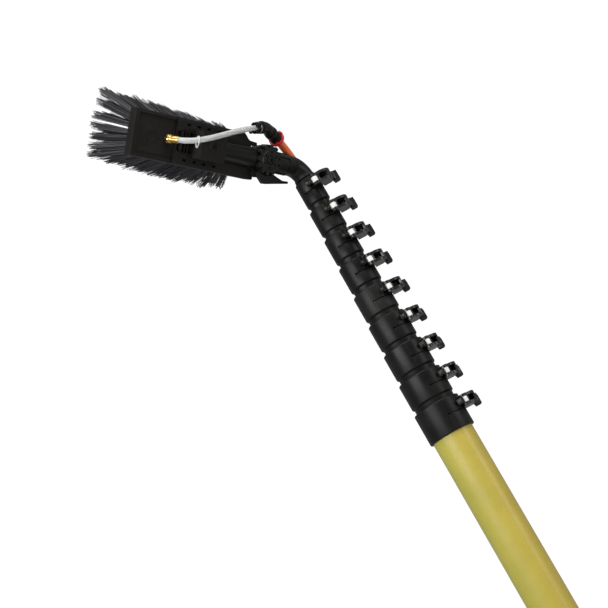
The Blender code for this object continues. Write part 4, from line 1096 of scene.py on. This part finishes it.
stem_place = HEAD @ Matrix.Translation((FITTING_X, 0, 0))
stem = turned(
    "stem",
    [(0, 12.0 * MM), (4.2 * MM, 12.0 * MM), (4.2 * MM, 5.2 * MM), (6.0 * MM, 5.2 * MM), (6.4 * MM, 4.8 * MM),
     (6.4 * MM, 1.0 * MM), (5.6 * MM, -0.4 * MM), (4.6 * MM, -1.0 * MM), (0, -1.0 * MM)],
    stem_place, 48,
)
flats = []
for i in range(6):
    turn = Matrix.Rotation(math.tau * i / 6, 4, "Z")
    flats.append(box((5.55 * MM, -8 * MM, 2.0 * MM), (9 * MM, 8 * MM, 5.1 * MM), stem_place @ turn))
carve(stem, cuts=flats)
thread_pitch, crest, valley = 2.0, 5.2, 4.45
profile = [(0, 1.0 * MM), (4.7 * MM, 1.0 * MM)]
level = -0.2
while level > -11.0:
    profile += [(valley * MM, level * MM), (crest * MM, (level - 0.45) * MM)]
    profile += [(crest * MM, (level - 1.05) * MM), (valley * MM, (level - 1.45) * MM)]
    level -= thread_pitch
profile += [(valley * MM, -12.0 * MM), (4.3 * MM, -12.0 * MM), (4.3 * MM, -5.4 * MM), (0, -5.4 * MM)]
carve(stem, joins=[turned("barb", profile, HEAD @ barb_local, 48)])
piece("jet_fitting_brass", stem, BRASS, "brush_head", "jet_fitting", bevel=0.12 * MM)

loop_hose = [outlet_local - hose_aim * 8 * MM, *bezier(hose_mouth, *hose_handles, hose_landing, 18)]
loop_at = loop_hose[14]
loop_aim = (loop_hose[15] - loop_hose[13]).normalized()
loop_down = Vector((0, -1, 0))
loop_side = loop_aim.cross(loop_down).normalized()
loop_path = []
for i in range(41):
    turn = math.tau * i / 40 * 0.955
    drop = loop_down * (2.4 - 7.8 * math.cos(turn)) * MM
    loop_path.append(loop_at + drop + loop_side * 6.0 * math.sin(turn) * MM)
loop_sizes = [0.85 * MM] * 41
loop_sizes[0] = loop_sizes[-1] = 0.6 * MM
loop = sweep("loop", loop_path, loop_sizes, 20, matrix=HEAD)
piece("hose_tie_loop", loop, LOOP, "brush_head", "hose_loop")

# -------------------- studio
floor_mesh = bmesh.new()
bmesh.ops.create_grid(floor_mesh, x_segments=1, y_segments=1, size=12.0)
floor = from_bmesh("floor", floor_mesh, Matrix.Translation((0, 0, -0.0005)))
floor_look = Look("floor", (0.85, 0.85, 0.84), 0.7)
floor.data.materials.append(floor_look.material)
floor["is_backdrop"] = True

world = bpy.data.worlds.new("studio")
scene.world = world
world.use_nodes = True
tree = world.node_tree
background = tree.nodes["Background"]
background.inputs["Color"].default_value = (1.0, 1.0, 1.0, 1.0)
background.inputs["Strength"].default_value = 0.33
bright = tree.nodes.new("ShaderNodeBackground")
bright.inputs["Color"].default_value = (1.0, 1.0, 1.0, 1.0)
bright.inputs["Strength"].default_value = 1.05
path_node = tree.nodes.new("ShaderNodeLightPath")
chooser = tree.nodes.new("ShaderNodeMixShader")
tree.links.new(path_node.outputs["Is Camera Ray"], chooser.inputs[0])
tree.links.new(background.outputs[0], chooser.inputs[1])
tree.links.new(bright.outputs[0], chooser.inputs[2])
tree.links.new(chooser.outputs[0], tree.nodes["World Output"].inputs["Surface"])


def softbox(name, location, target, size, energy):
    data = bpy.data.lights.new(name, "AREA")
    data.shape = "RECTANGLE"
    data.size, data.size_y = size
    data.energy = energy
    made = bpy.data.objects.new(name, data)
    scene.collection.objects.link(made)
    made.location = location
    made.rotation_euler = (Vector(target) - Vector(location)).to_track_quat("-Z", "Z").to_euler()


softbox("key", (2.1, 0.10, 2.05), (0.0, 0.0, 1.75), (0.45, 1.7), 26.0)
softbox("top", (0.5, 0.9, 3.4), (0.05, 0.0, 1.8), (1.6, 1.6), 30.0)
softbox("side", (-0.6, 2.2, 1.9), (0.0, 0.0, 1.7), (0.6, 1.6), 10.0)
scene.view_settings.view_transform = "Standard"

low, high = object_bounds()
